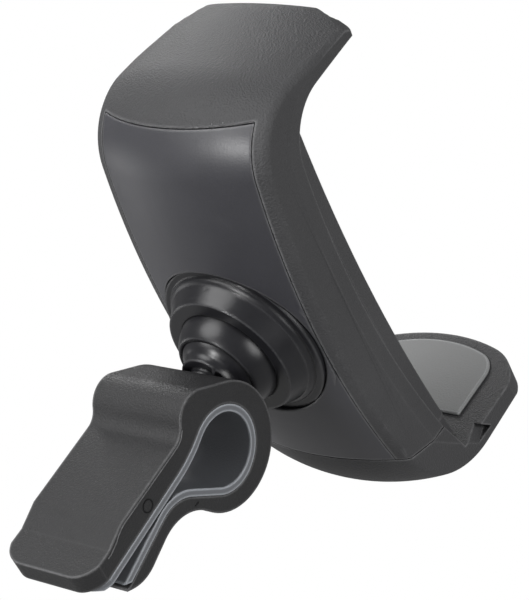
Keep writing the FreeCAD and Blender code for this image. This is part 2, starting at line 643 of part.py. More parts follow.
def cutNose(body, name, noseY, cornerRadius, crownRadius):
    """Rounds a nose as seen from above."""
    half = "(Sizes.frameHalf + Sizes.sideMargin)"
    far = "(Sizes.frameHalf + Sizes.cutRoom)"
    rear = f"({noseY} + 2 * {cornerRadius} + 4)"
    low = f"({noseY} - Sizes.cutRoom)"
    cornerX = f"({half} - {cornerRadius})"
    crownY = f"({noseY} + {cornerX}^2 / (2 * {crownRadius}))"
    sketch = planSketch(body, name + "Outline")
    addOutline(sketch, [
        dict(at=(half, rear), hold="xy", angle="270"),
        dict(at=(half, f"{crownY} + {cornerRadius}"), go="right", radius=cornerRadius, smooth=True),
        dict(at=(cornerX, crownY), go="right", radius=crownRadius,
             centre=("0", f"{noseY} + {crownRadius}"), smooth=True),
        dict(at=(f"-{cornerX}", crownY), go="right", radius=cornerRadius, smooth=True),
        dict(at=(f"-{half}", f"{crownY} + {cornerRadius}"), angle="90", smooth=True),
        dict(at=(f"-{half}", rear), hold="xy"),
        dict(at=(f"-{far}", rear), hold="xy"),
        dict(at=(f"-{far}", low), hold="xy"),
        dict(at=(far, low), hold="xy"),
        dict(at=(far, rear), hold="xy"),
    ])
    return throughPocket(body, name, sketch)


def padOutline(sketch, half, rear, front, cornerRadius, crownRadius):
    """A pad seen from above: straight behind, crowned and rounded in front."""
    cornerX = f"({half} - {cornerRadius})"
    crownY = f"({front} + {cornerX}^2 / (2 * {crownRadius}))"
    addOutline(sketch, [
        dict(at=(half, rear), hold="xy"),
        dict(at=(f"-{half}", rear), hold="xy", angle="270"),
        dict(at=(f"-{half}", f"{crownY} + {cornerRadius}"), go="left", radius=cornerRadius, smooth=True),
        dict(at=(f"-{cornerX}", crownY), go="left", radius=crownRadius,
             centre=("0", f"{front} + {crownRadius}"), smooth=True),
        dict(at=(cornerX, crownY), go="left", radius=cornerRadius, smooth=True),
        dict(at=(half, f"{crownY} + {cornerRadius}"), angle="90", smooth=True),
    ])


partingFar = f"({backAt('Sizes.partingZ')} + Sizes.cutRoom)"
partingNear = "(Sizes.jawWallY - Sizes.cutRoom)"


def partingAt(y, lift="0"):
    """Point of the parting line above the lower jaw."""
    return (y, f"Sizes.partingZ - ({backAt('Sizes.partingZ')} - ({y})) * tan(Sizes.partingAngle) + {lift}")


def cutParting(body, name):
    """Cuts a cradle piece off along the parting line."""
    sketch = sideSketch(body, name + "Outline")
    polygon(sketch, [
        partingAt(partingFar),
        partingAt(partingNear),
        (partingNear, "Sizes.jawLowZ"),
        (partingFar, "Sizes.jawLowZ"),
    ])
    throughPocket(body, name, sketch)


def coverScrewPlaces(radius):
    return [(f"{signX}Sizes.bossX", f"{signZ}Sizes.bossZ", radius)
            for signX in ("-", "") for signZ in ("", "-")]


socketScrewAngles = (90, 210, 330)


def socketScrewPlaces(radius):
    return [(f"Sizes.socketScrewCircle * cos({angle})", f"Sizes.socketScrewCircle * sin({angle})", radius)
            for angle in socketScrewAngles]


def screw(label, x, y, z, head, headHeight, shank, length, turn=0):
    """Screw along Y: its head's seat is at the given place, its shank points to +Y."""
    body = newBody(label, atBall=False)
    turnedPolygon(body, "Shape", [
        (f"-{headHeight}", "0"),
        (f"-{headHeight}", head),
        ("0", head),
        ("0", shank),
        (f"{length}", shank),
        (f"{length}", "0"),
    ])
    recess = faceSketch(body, "RecessOutline", f"-{headHeight}")
    polygon(recess, [(f"Sizes.screwSocket * cos({angle})", f"Sizes.screwSocket * sin({angle})")
                     for angle in range(0, 360, 60)])
    pocket(body, "Recess", recess, "Sizes.screwSocketDepth")
    body.Placement = Placement(Vector(), Rotation(Vector(0, 0, 1), turn))
    body.setExpression("Placement.Base.x", x)
    body.setExpression("Placement.Base.y", f"{y} - Sizes.ballReach")
    body.setExpression("Placement.Base.z", z)
    return body


# Front frame: side bands, front wall and upper jaw in one moulding

frame = newBody("front_frame")
frameSide = sideSketch(frame, "SideProfile")
frameOutline(frameSide)
pad(frame, "SideShape", frameSide, "2 * Sizes.frameHalf", midplane=True)
cutCrown(frame, "CrownUpper", upperPath(frame, "UpperPath"))
cutCrown(frame, "CrownLower", lowerPath(frame, "LowerPath"))
cutNose(frame, "NosePlan", "Sizes.noseY", "Sizes.nosePlanRadius", "Sizes.nosePlanCrown")


noseTop = planSketch(frame, "NoseTopOutline", "Sizes.jawTopZ + 1")
noseTopSide = "(Sizes.frameHalf + Sizes.sideMargin)"
noseTopFront = "(Sizes.noseY + Sizes.noseTopBack)"
noseTopFar = "(Sizes.frameHalf + 2 * Sizes.cutRoom)"
noseTopRear = f"({noseTopFront} + Sizes.noseTopCorner + 1)"
noseTopEndX = f"({noseTopSide} - Sizes.noseTopCorner)"
noseTopLow = "(Sizes.noseY - 2 * Sizes.cutRoom)"
addOutline(noseTop, [
    dict(at=(noseTopSide, noseTopRear), hold="xy"),
    dict(at=(noseTopSide, f"{noseTopFront} + Sizes.noseTopCorner"), hold="xy", go="right",
         radius="Sizes.noseTopCorner"),
    dict(at=(noseTopEndX, noseTopFront), hold="xy"),
    dict(at=(noseTopEndX, noseTopLow), hold="xy"),
    dict(at=(noseTopFar, noseTopLow), hold="xy"),
    dict(at=(noseTopFar, noseTopRear), hold="xy"),
])
noseTopCut = pocket(frame, "NoseTop", noseTop, "2 * Sizes.cutRoom")
noseTopCut.UseCustomVector = True
noseTopCut.AlongSketchNormal = True
noseTopLean = evaluate(frame, "Sizes.noseTopLean")
noseTopCut.Direction = Vector(noseTopLean, -noseTopLean, -1)
noseTopCut.setExpression("Direction.x", "Sizes.noseTopLean")
noseTopCut.setExpression("Direction.y", "-Sizes.noseTopLean")
doc.recompute()
mirrored(frame, "NoseTopPair", noseTopCut)
bevelUp = sideSketch(frame, "BevelUpPath")
addOutline(bevelUp, [
    frontStep(midFront, hold="y"),
    dict(at=(frontAt(innerZ), innerZ), go="left", radius="Sizes.innerRadius", smooth=True),
    dict(at=(gripEndY, "Sizes.gripTopZ"), hold="y", angle="180 - Sizes.gripAngle", smooth=True),
    dict(at=("Sizes.noseY - Sizes.cutRoom", "Sizes.gripTopZ + 1"), hold="x"),
], closed=False)
cutSides(frame, "BevelUp", frontBevel(frame, "BevelUpSection"), bevelUp)
cutLowBevel(frame)


def seamAt(y, lift="0"):
    """Point of the cover's top seam plane, which falls towards the phone."""
    return (y, f"Sizes.coverTopZ + (({y}) - Sizes.coverTopY) * tan(Sizes.coverTopAngle) + {lift}")


cavity = sideSketch(frame, "CavityOutline")
polygon(cavity, [
    ("Sizes.wallRearY", "Sizes.jawLowZ"),
    ("Sizes.backY + Sizes.cutRoom", "Sizes.jawLowZ"),
    seamAt("Sizes.backY + Sizes.cutRoom"),
    seamAt("Sizes.wallRearY - Sizes.cavityRamp"),
    ("Sizes.wallRearY - Sizes.cavityRamp", "Sizes.cavityTopZ + Sizes.cavityRise"),
    ("Sizes.wallRearY", "Sizes.cavityTopZ"),
])
pocket(frame, "Cavity", cavity, "2 * (Sizes.coverHalf + Sizes.seatFit)", midplane=True)
window = faceSketch(frame, "WindowOutline", "Sizes.wallRearY - Sizes.cutRoom * 2")
rectangle(window, "-Sizes.windowHalf", "Sizes.jawLowZ", "Sizes.windowHalf", "Sizes.windowTopZ")
pocket(frame, "Window", window, "Sizes.cutRoom * 3")
screwHoles = faceSketch(frame, "ScrewHoleOutline", "Sizes.wallRearY - Sizes.cutRoom * 2")
addCircles(screwHoles, coverScrewPlaces("Sizes.screwRadius + Sizes.screwClear"))
pocket(frame, "ScrewHoles", screwHoles, "Sizes.cutRoom * 3")
screwSeats = faceSketch(frame, "ScrewSeatOutline", "Sizes.screwSeatY")
addCircles(screwSeats, coverScrewPlaces("Sizes.screwHeadRadius + Sizes.screwClear"))
pocket(frame, "ScrewSeats", screwSeats, "Sizes.cutRoom", reverse=True)


def gripAt(y, rise):
    """Point on the upper jaw's inner face, raised into the jaw or sunk below it."""
    return (y, f"Sizes.gripTopZ + ({gripEndY} - ({y})) * tan(Sizes.gripAngle) + ({rise})")


def topPadCorners(fall):
    return [
        gripAt("Sizes.topPadBackY", f"-({fall})"),
        gripAt("Sizes.topPadBackY", "Sizes.padSink"),
        gripAt("Sizes.topPadFrontY", "Sizes.padSink"),
        gripAt("Sizes.topPadFrontY", f"-({fall})"),
    ]


topRecess = sideSketch(frame, "PadRecessOutline")
polygon(topRecess, topPadCorners("Sizes.cutRoom"))
pocket(frame, "PadRecess", topRecess, "2 * Sizes.topPadHalf", midplane=True)
cutParting(frame, "Parting")

# Upper jaw pad

topPad = newBody("upper_jaw_pad")
topPadSide = sideSketch(topPad, "SideProfile")
polygon(topPadSide, topPadCorners("Sizes.padProud"))
pad(topPad, "Shape", topPadSide, "2 * Sizes.topPadHalf", midplane=True)

# Back cover

cover = newBody("back_cover")


def coverSection(name):
    half = "(Sizes.coverHalf - Sizes.seamGap / 2)"
    innerRadius = "(Sizes.crownRadius - Sizes.coverWall)"
    outerY = f"(Sizes.backY - {half}^2 / (2 * Sizes.crownRadius))"
    innerY = f"(Sizes.backY - Sizes.coverWall - {half}^2 / (2 * {innerRadius}))"
    centre = ("0", "Sizes.backY - Sizes.crownRadius")
    sketch = planSketch(cover, name, "Sizes.backMidZ")
    addOutline(sketch, [
        dict(at=(half, outerY), hold="x", go="left", radius="Sizes.crownRadius", centre=centre),
        dict(at=(f"-{half}", outerY), hold="x"),
        dict(at=(f"-{half}", innerY), hold="x", go="right", radius=innerRadius, centre=centre),
        dict(at=(half, innerY), hold="x"),
    ])
    return sketch


coverUp = sideSketch(cover, "UpPath")
addOutline(coverUp, [
    backStep(midBack, hold="y"),
    cornerStep(),
    dict(at=(topStartY, "Sizes.jawTopZ"), angle="180 - Sizes.jawTopAngle", smooth=True),
    dict(at=(noseTopY, "Sizes.jawTopZ"), hold="xy"),
], closed=False)
pipe(cover, "Upper", coverSection("UpperSection"), coverUp, cut=False)
coverTop = sideSketch(cover, "TopOutline")
polygon(coverTop, [
    seamAt("Sizes.backY + Sizes.cutRoom", "-Sizes.seamGap"),
    ("Sizes.backY + Sizes.cutRoom", "Sizes.jawTopZ + Sizes.cutRoom"),
    ("Sizes.noseY - Sizes.cutRoom", "Sizes.jawTopZ + Sizes.cutRoom"),
    seamAt("Sizes.noseY - Sizes.cutRoom", "-Sizes.seamGap"),
])
throughPocket(cover, "TopCut", coverTop)
coverDown = sideSketch(cover, "DownPath")
addOutline(coverDown, [
    backStep(midBack, hold="y", go="right"),
    dict(at=(backAt(bevelEndZ), bevelEndZ), hold="y"),
], closed=False)
pipe(cover, "Lower", coverSection("LowerSection"), coverDown, cut=False)
bosses = faceSketch(cover, "BossOutline", "Sizes.wallRearY")
addCircles(bosses, coverScrewPlaces("Sizes.bossRadius"))
pad(cover, "Bosses", bosses, "Sizes.bossLength", reverse=True)
ringSketch = faceSketch(cover, "RingOutline", "Sizes.bossFloorY")
ringHalf = "(Sizes.coverHalf - Sizes.seamGap / 2)"
ringRise = f"sqrt(Sizes.coverBoss^2 - {ringHalf}^2)"
ringArc = dict(radius="Sizes.coverBoss", centre=("0", "0"))
addOutline(ringSketch, [
    dict(at=(ringHalf, f"-{ringRise}"), hold="x"),
    dict(at=(ringHalf, ringRise), hold="x", go="left", **ringArc),
    dict(at=(f"-{ringHalf}", ringRise), hold="x"),
    dict(at=(f"-{ringHalf}", f"-{ringRise}"), hold="x", go="left", **ringArc),
])
pad(cover, "Ring", ringSketch, "Sizes.recessY - Sizes.bossFloorY", reverse=True)
recess = faceSketch(cover, "RecessOutline", "Sizes.recessY")
addCircles(recess, [("0", "0", "Sizes.flangeRadius + Sizes.seamGap")])
pocket(cover, "Recess", recess, "Sizes.cutRoom")
bore = faceSketch(cover, "BoreOutline", "Sizes.wallRearY")
addCircles(bore, [("0", "0", "Sizes.coverBore")])
pocket(cover, "Bore", bore, "Sizes.cutRoom * 3")
coverSockets = faceSketch(cover, "SocketScrewOutline", "Sizes.wallRearY")
addCircles(coverSockets, socketScrewPlaces("Sizes.screwRadius + Sizes.screwClear"))
pocket(cover, "SocketScrewHoles", coverSockets, "Sizes.cutRoom * 3")
coverHoles = faceSketch(cover, "ScrewHoleOutline", "Sizes.wallRearY")
addCircles(coverHoles, coverScrewPlaces("Sizes.screwRadius + Sizes.runFit"))
pocket(cover, "ScrewHoles", coverHoles, "Sizes.bossHole")
cutParting(cover, "Parting")

# Backrest panel with the channel for the sliding tongue

panel = newBody("backrest_panel")
panelCentre = ("Sizes.panelFrontY - Sizes.panelRadius", "Sizes.panelMidZ")
restRadius = "(Sizes.frontRadius - Sizes.seatFit)"
restEndZ = ("(Sizes.frontMidZ + (Sizes.gripTopZ - Sizes.innerRadius - Sizes.frontMidZ)"
            " * (Sizes.frontRadius - Sizes.seatFit) / (Sizes.frontRadius - Sizes.innerRadius))")


def panelAt(height):
    return f"(Sizes.panelFrontY - ({height} - Sizes.panelMidZ)^2 / (2 * Sizes.panelRadius))"


panelFootZ = "(Sizes.partingZ - 2 * Sizes.cutRoom)"
panelCrestZ = "(Sizes.panelTopZ - Sizes.panelTopFall)"
panelTopY = f"({gripEndY} + 0.75 * Sizes.innerRadius)"
panelSide = sideSketch(panel, "SideProfile")
addOutline(panelSide, [
    dict(at=(frontAt(panelFootZ), panelFootZ), hold="y", go="left", radius=restRadius,
         centre=frontCentre),
    dict(at=(frontAt(restEndZ), restEndZ), hold="y", go="left", smooth=True,
         radius="(Sizes.innerRadius - Sizes.seatFit)"),
    dict(at=(panelTopY, "Sizes.panelTopZ"), hold="y"),
    dict(at=(panelAt(panelCrestZ), panelCrestZ), hold="y", go="right", radius="Sizes.panelRadius",
         centre=panelCentre),
    dict(at=(panelAt(panelFootZ), panelFootZ), hold="y"),
])
pad(panel, "SideShape", panelSide, "2 * Sizes.panelHalf", midplane=True)
for direction, turn, end in (("Up", "left", "Sizes.panelTopZ + Sizes.cutRoom"),
                             ("Down", "right", f"{panelFootZ} - Sizes.cutRoom")):
    edge = bevelSection(panel, f"Edge{direction}Section", "Sizes.panelMidZ", "Sizes.panelFaceHalf",
                        "Sizes.panelFrontY", "Sizes.panelHalf", "(Sizes.frontY - 1)")
    edgePath = sideSketch(panel, f"Edge{direction}Path")
    addOutline(edgePath, [
        dict(at=("Sizes.panelFrontY", "Sizes.panelMidZ"), hold="y", go=turn,
             radius="Sizes.panelRadius", centre=panelCentre),
        dict(at=(panelAt(f"({end})"), end), hold="y"),
    ], closed=False)
    cutSides(panel, f"Edge{direction}", edge, edgePath)
channel = sideSketch(panel, "ChannelOutline")
rectangle(channel, "Sizes.panelFloorY", "Sizes.jawLowZ", "Sizes.frontY + Sizes.cutRoom", "Sizes.channelTopZ")
pocket(panel, "Channel", channel, "2 * Sizes.channelHalf", midplane=True)
posts = faceSketch(panel, "PostOutline", "Sizes.panelFloorY - Sizes.postRoot")
addCircles(posts, [("-Sizes.springX", "Sizes.springTopZ", "Sizes.postRadius"),
                   ("Sizes.springX", "Sizes.springTopZ", "Sizes.postRadius")])
pad(panel, "SpringPosts", posts, "Sizes.postEndY - Sizes.panelFloorY + Sizes.postRoot", reverse=True)
cutParting(panel, "Parting")

# Lower jaw with its sliding tongue

jaw = newBody("lower_jaw")
jawSide = sideSketch(jaw, "SideProfile")
lowerJawOutline(jawSide)
pad(jaw, "SideShape", jawSide, "2 * Sizes.frameHalf", midplane=True)
cutCrown(jaw, "Crown", lowerPath(jaw, "CrownPath"))
cutNose(jaw, "NosePlan", "Sizes.lowNoseY", "Sizes.lowNosePlanRadius", "Sizes.lowNoseCrown")
roof = newBody("jaw_roof_cutter")
roofFarX = "(Sizes.frameHalf + Sizes.cutRoom)"


def roofSection(name, height, half, front, cornerRadius):
    sketch = planSketch(roof, name, height)
    padOutline(sketch, half, f"{jawCornerY} + 2", front, cornerRadius, "Sizes.lowNoseCrown")
    return sketch


roofBlock = planSketch(roof, "BlockOutline", "Sizes.seatZ - Sizes.jawBevelDepth")
rectangle(roofBlock, f"-{roofFarX}", "Sizes.lowNoseY - Sizes.cutRoom", roofFarX, jawCornerY)
pad(roof, "Block", roofBlock, "Sizes.jawBevelDepth + Sizes.cutRoom")
roofKeep = roof.newObject("PartDesign::SubtractiveLoft", "KeptJaw")
roofKeep.Profile = roofSection("KeptFoot", "Sizes.seatZ - Sizes.jawBevelDepth",
                               "(Sizes.frameHalf + Sizes.sideMargin)", "(Sizes.lowNoseY - Sizes.sideMargin)",
                               "Sizes.lowNosePlanRadius")
roofKeep.Sections = [roofSection("KeptSeat", "Sizes.seatZ", "(Sizes.frameHalf - Sizes.jawBevelWidth)",
                                 "(Sizes.lowNoseY + Sizes.noseSlope)", "Sizes.seatCorner")]
roofKeep.Ruled = True
roofCorner = sideSketch(roof, "CornerOutline")
cornerLowZ = "(Sizes.jawCornerZ - Sizes.jawCornerRadius)"
addOutline(roofCorner, [
    dict(at=(jawCornerY, "Sizes.jawCornerZ"), hold="xy", go="right",
         radius="Sizes.jawCornerRadius"),
    dict(at=(f"{jawCornerY} - Sizes.jawCornerRadius", cornerLowZ), hold="xy"),
    dict(at=(f"{jawCornerY} + 1", cornerLowZ), hold="xy"),
    dict(at=(f"{jawCornerY} + 1", "Sizes.jawCornerZ"), hold="xy"),
])
throughPocket(roof, "Corner", roofCorner)
doc.recompute()
roofCut = jaw.newObject("PartDesign::Boolean", "RoofCut")
roofCut.setObjects([roof])
roofCut.Type = "Cut"
jaw.Tip = roofCut
fadeLift = 2
fadeTopZ = f"({bandEndZ} + {fadeLift})"
fadeY = f"({frontAt(bandEndZ)} + {fadeLift} * Sizes.bevelFade)"
fadeSection = bevelSection(jaw, "BevelFadeSection", fadeTopZ, "(Sizes.frameHalf - Sizes.bevelWidth)", fadeY,
                           "Sizes.frameHalf", f"({fadeY} + Sizes.bevelDepth)")
bevelFade = pocket(jaw, "BevelFade", fadeSection, "Sizes.bevelFadeLength")
bevelFade.UseCustomVector = True
bevelFade.AlongSketchNormal = True
bevelFade.Direction = Vector(0, -evaluate(jaw, "Sizes.bevelFade"), -1)
bevelFade.setExpression("Direction.y", "-Sizes.bevelFade")
doc.recompute()
mirrored(jaw, "BevelFadePair", bevelFade)
blockTopZ = "(Sizes.partingZ - 2)"
block = planSketch(jaw, "WallBlockOutline", blockTopZ)
blockFront = f"(Sizes.jawWallY + Sizes.wallLean * ({blockTopZ} - Sizes.jawCornerZ))"
polygon(block, [
    ("-Sizes.panelHalf", f"{jawCornerY} + 2"),
    ("-Sizes.panelFaceHalf", blockFront),
    ("Sizes.panelFaceHalf", blockFront),
    ("Sizes.panelHalf", f"{jawCornerY} + 2"),
])
wallBlock = pad(jaw, "WallBlock", block, f"{blockTopZ} - Sizes.padSink - Sizes.seatZ + 0.1", reverse=True)
wallBlock.UseCustomVector = True
wallBlock.AlongSketchNormal = True
wallBlock.Direction = Vector(0, evaluate(jaw, "Sizes.wallLean"), 1)
wallBlock.setExpression("Direction.y", "Sizes.wallLean")
wallTop = sideSketch(jaw, "WallTopOutline")
polygon(wallTop, [
    partingAt(partingFar, "-Sizes.seamGap"),
    (partingFar, "Sizes.partingZ + Sizes.cutRoom"),
    (partingNear, "Sizes.partingZ + Sizes.cutRoom"),
    partingAt(partingNear, "-Sizes.seamGap"),
])
throughPocket(jaw, "WallTop", wallTop)
tongue = faceSketch(jaw, "TongueOutline", "Sizes.tongueFrontY")
rectangle(tongue, "-Sizes.tongueHalf", "Sizes.seatZ", "Sizes.tongueHalf", "Sizes.tongueTopZ")
pad(jaw, "Tongue", tongue, "Sizes.tongueRearY - Sizes.tongueFrontY", reverse=True)
jawPosts = faceSketch(jaw, "PostOutline", "Sizes.tongueRearY - Sizes.postRoot")
addCircles(jawPosts, [("-Sizes.springX", "Sizes.springLowZ", "Sizes.postRadius"),
                      ("Sizes.springX", "Sizes.springLowZ", "Sizes.postRadius")])
pad(jaw, "SpringPosts", jawPosts, "Sizes.postEndY - Sizes.tongueRearY + Sizes.postRoot", reverse=True)


def lowPadOutline(body, name, height):
    sketch = planSketch(body, name, height)
    padOutline(sketch, "Sizes.padHalf", "Sizes.padBackY", "Sizes.padFrontY", "Sizes.padCorner",
               "Sizes.padCrown")
    return sketch


padRecess = lowPadOutline(jaw, "PadRecessOutline", "Sizes.seatZ - Sizes.padSink")
pocket(jaw, "PadRecess", padRecess, "Sizes.cutRoom", reverse=True)

# Lower jaw pad

lowPad = newBody("lower_jaw_pad")
pad(lowPad, "Shape", lowPadOutline(lowPad, "Outline", "Sizes.seatZ - Sizes.padSink"),
    "Sizes.padSink + Sizes.padProud")

# Tension springs of the sliding jaw

for side, sign in (("left", "-"), ("right", "")):
    spring = newBody(f"jaw_spring_{side}")
    springX = f"{sign}Sizes.springX"
    coil = planSketch(spring, "CoilOutline", "Sizes.springLowZ + Sizes.eyeReach")
    addCircles(coil, [(springX, "Sizes.springY", "Sizes.springRadius"),
                      (springX, "Sizes.springY", "Sizes.springRadius - Sizes.springWire")])
    pad(spring, "Coil", coil, "Sizes.springTopZ - Sizes.springLowZ - 2 * Sizes.eyeReach")
    for end, height in (("Low", "Sizes.springLowZ"), ("Top", "Sizes.springTopZ")):
        eye = faceSketch(spring, f"{end}EyeOutline", "Sizes.springY - Sizes.springWire")
        addCircles(eye, [(springX, height, "Sizes.postRadius + Sizes.postFit"),
                         (springX, height, "Sizes.postRadius + Sizes.postFit + 2 * Sizes.springWire")])
        pad(spring, f"{end}Eye", eye, "2 * Sizes.springWire", reverse=True)

# Screws of the cover and the socket

for number, (x, z, radius) in enumerate(coverScrewPlaces("Sizes.screwRadius"), start=1):
    screw(f"cover_screw_{number}", x, "Sizes.screwSeatY", z, "Sizes.screwHeadRadius",
          "Sizes.screwHeadHeight", radius, "Sizes.screwLength")
for number, (x, z, radius) in enumerate(socketScrewPlaces("Sizes.screwRadius"), start=1):
    screw(f"socket_screw_{number}", x, "Sizes.socketScrewSeatY", z, "Sizes.socketScrewHeadRadius",
          "Sizes.socketScrewHead", radius, "Sizes.socketScrewLength")

# Ball socket, from the outside in

socketBase = newBody("socket_base")
turned(socketBase, "Shape", [
    dict(at=("Sizes.recessY", "Sizes.lipRadius + Sizes.seatFit"), hold="xy"),
    dict(at=("Sizes.recessY", "Sizes.flangeRadius"), hold="xy"),
    dict(at=("Sizes.flangeFaceY", "Sizes.flangeRadius"), hold="xy"),
    dict(at=("Sizes.flangeFaceY", "Sizes.stepRadius + Sizes.stepOut"), hold="xy", go="right",
         radius="Sizes.stepRise"),
    dict(at=("Sizes.flangeFaceY + Sizes.stepRise", "Sizes.stepRadius - Sizes.stepIn"), hold="xy"),
    dict(at=("Sizes.socketFaceY", "Sizes.coneTopRadius"), hold="xy"),
    dict(at=("Sizes.socketFaceY", "Sizes.collarRadius + Sizes.seatFit"), hold="xy"),
    dict(at=("Sizes.lipRearY", "Sizes.collarRadius + Sizes.seatFit"), hold="xy"),
    dict(at=("Sizes.lipRearY", "Sizes.lipRadius + Sizes.seatFit"), hold="xy"),
])
baseHoles = faceSketch(socketBase, "ScrewHoleOutline", "Sizes.recessY")
addCircles(baseHoles, socketScrewPlaces("Sizes.screwRadius + Sizes.runFit"))
pocket(socketBase, "ScrewHoles", baseHoles, "Sizes.baseHole")

sphere = "(Sizes.ballRadius + Sizes.runFit)"
collar = newBody("socket_collar")
turned(collar, "Shape", [
    dict(at=("Sizes.recessY", sphere), hold="xy"),
    dict(at=("Sizes.recessY", "Sizes.lipRadius"), hold="xy"),
    dict(at=("Sizes.lipRearY", "Sizes.lipRadius"), hold="xy"),
    dict(at=("Sizes.lipRearY", "Sizes.collarRadius"), hold="xy"),
    dict(at=("Sizes.socketFaceY", "Sizes.collarRadius"), hold="xy", go="right",
         radius="Sizes.collarDome"),
    dict(at=("Sizes.collarTopY", f"sqrt({sphere}^2 - Sizes.collarTopY^2) + Sizes.rimWidth"), hold="xy"),
    dict(at=("Sizes.collarTopY", f"sqrt({sphere}^2 - Sizes.collarTopY^2)"), hold="x", go="left",
         radius=sphere, centre=("0", "0")),
    dict(at=("0", sphere), hold="x"),
])

seat = newBody("ball_seat")
turned(seat, "Shape", [
    dict(at=("Sizes.seatEndY", "0"), hold="xy"),
    dict(at=(f"-{sphere}", "0"), hold="y", go="right", radius=sphere, centre=("0", "0")),
    dict(at=("Sizes.seatTopY", f"sqrt({sphere}^2 - Sizes.seatTopY^2)"), hold="x"),
    dict(at=("Sizes.seatTopY", "Sizes.seatRadius"), hold="xy"),
    dict(at=("Sizes.seatEndY", "Sizes.seatRadius"), hold="xy"),
])

washer = newBody("wave_washer")
turnedPolygon(washer, "Shape", [
    ("Sizes.retainerFloorY", "Sizes.washerInner"),
    ("Sizes.retainerFloorY", "Sizes.washerRadius"),
    ("Sizes.seatEndY", "Sizes.washerRadius"),
    ("Sizes.seatEndY", "Sizes.washerInner"),
])

retainer = newBody("seat_retainer")
turnedPolygon(retainer, "Shape", [
    ("Sizes.retainerY", "0"),
    ("Sizes.retainerY", "Sizes.retainerRadius"),
    ("Sizes.bossFloorY", "Sizes.retainerRadius"),
    ("Sizes.bossFloorY", "Sizes.retainerBore"),
    ("Sizes.retainerFloorY", "Sizes.retainerBore"),
    ("Sizes.retainerFloorY", "0"),
])
retainerHoles = faceSketch(retainer, "ScrewHoleOutline", "Sizes.retainerY")
addCircles(retainerHoles, socketScrewPlaces("Sizes.screwRadius + Sizes.screwClear"))
pocket(retainer, "ScrewHoles", retainerHoles)
retainerSeats = faceSketch(retainer, "ScrewSeatOutline", "Sizes.retainerY")
addCircles(retainerSeats, socketScrewPlaces("Sizes.socketScrewHeadRadius + Sizes.postFit"))
pocket(retainer, "ScrewSeats", retainerSeats, "Sizes.socketScrewSeatY - Sizes.retainerY")

# Ball and stem

stem = newBody("ball_stem")
turned(stem, "Shape", [
    dict(at=("-Sizes.ballRadius", "0"), hold="y", go="right", radius="Sizes.ballRadius", centre=("0", "0")),
    dict(at=("Sizes.ballEndY", "sqrt(Sizes.ballRadius^2 - Sizes.ballEndY^2)"), hold="x"),
    dict(at=("Sizes.shoulderY", "Sizes.shoulderRadius"), hold="xy"),
    dict(at=("Sizes.footY", "Sizes.shoulderRadius"), hold="xy"),
    dict(at=("Sizes.footY", "Sizes.footRadius"), hold="xy"),
    dict(at=("Sizes.footEndY", "Sizes.footRadius"), hold="xy"),
    dict(at=("Sizes.footEndY", "0"), hold="xy"),
])
stemHole = faceSketch(stem, "ScrewHoleOutline", "Sizes.footEndY")
addCircles(stemHole, [("0", "0", "Sizes.stemScrewRadius + Sizes.runFit")])
pocket(stem, "ScrewHole", stemHole, "Sizes.stemScrewLength", reverse=True)
screw("stem_screw", "0", "Sizes.stemSeatY", "0", "Sizes.stemScrewHead", "Sizes.stemHeadHeight",
      "Sizes.stemScrewRadius", "Sizes.stemScrewLength", turn=180)

# Clip: outer outline first, then the loop and the slot are cut out of it


def mouthSteps(inset, reach):
    """Inside of loop and slot, from the lower leaf's end round the loop to the upper leaf's end.
    inset moves it into the opening, reach carries both ends beyond the leaves."""
    return [
        dict(at=(f"Sizes.mouthY + {reach}", f"Sizes.mouthZ + {inset} - {reach} * tan(Sizes.mouthAngle)"),
             hold="xy"),
        dict(at=("Sizes.bumpY + 1.5", f"Sizes.bumpZ + Sizes.bumpRadius + {inset}"), smooth=True, go="left",
             radius=f"Sizes.bumpRadius + {inset}", centre=("Sizes.bumpY", "Sizes.bumpZ")),
        dict(at=("Sizes.bumpY - 3", f"Sizes.bumpZ + Sizes.bumpRadius * 0.8 + {inset}"), smooth=True),
        dict(at=("Sizes.boreY + 5", "Sizes.boreZ - 4"), smooth=True, go="right", long=True,
             radius=f"Sizes.boreRadius - {inset}", centre=("Sizes.boreY", "Sizes.boreZ")),
        dict(at=("Sizes.boreY + 2", f"Sizes.boreZ + Sizes.boreRadius - {inset}"), smooth=True, go="left",
             radius=f"Sizes.throatRadius + {inset}"),
        dict(at=("Sizes.boreY + 8", f"Sizes.boreZ + Sizes.boreRadius - 1.5 - {inset}"), smooth=True,
             angle="-Sizes.leafInnerAngle"),
        dict(at=(f"Sizes.leafEndY + {reach}",
                 f"Sizes.leafInnerEndZ - {inset} - {reach} * tan(Sizes.leafInnerAngle)"), hold="xy"),
    ]


def cutLeafEnd(body, endY):
    """Rounds the upper leaf's end as seen from above."""
    sketch = planSketch(body, "LeafEndOutline")
    corner = "(Sizes.clipHalf - Sizes.leafPlanRadius)"
    far = "(Sizes.clipHalf + Sizes.cutRoom)"
    rear = f"({endY} - Sizes.leafPlanRadius - 0.5)"
    front = f"({endY} + Sizes.cutRoom)"
    side = "(Sizes.clipHalf + Sizes.leafMargin)"
    addOutline(sketch, [
        dict(at=(side, rear), hold="xy", angle="90"),
        dict(at=(side, f"{endY} - Sizes.leafPlanRadius"), go="left", radius="Sizes.leafPlanRadius",
             smooth=True),
        dict(at=(corner, endY), angle="180", smooth=True),
        dict(at=(f"-{corner}", endY), hold="y", go="left", radius="Sizes.leafPlanRadius", smooth=True),
        dict(at=(f"-{side}", f"{endY} - Sizes.leafPlanRadius"), angle="270", smooth=True),
        dict(at=(f"-{side}", rear), hold="xy"),
        dict(at=(f"-{far}", rear), hold="xy"),
        dict(at=(f"-{far}", front), hold="xy"),
        dict(at=(far, front), hold="xy"),
        dict(at=(far, rear), hold="xy"),
    ])
    throughPocket(body, "LeafEnd", sketch)


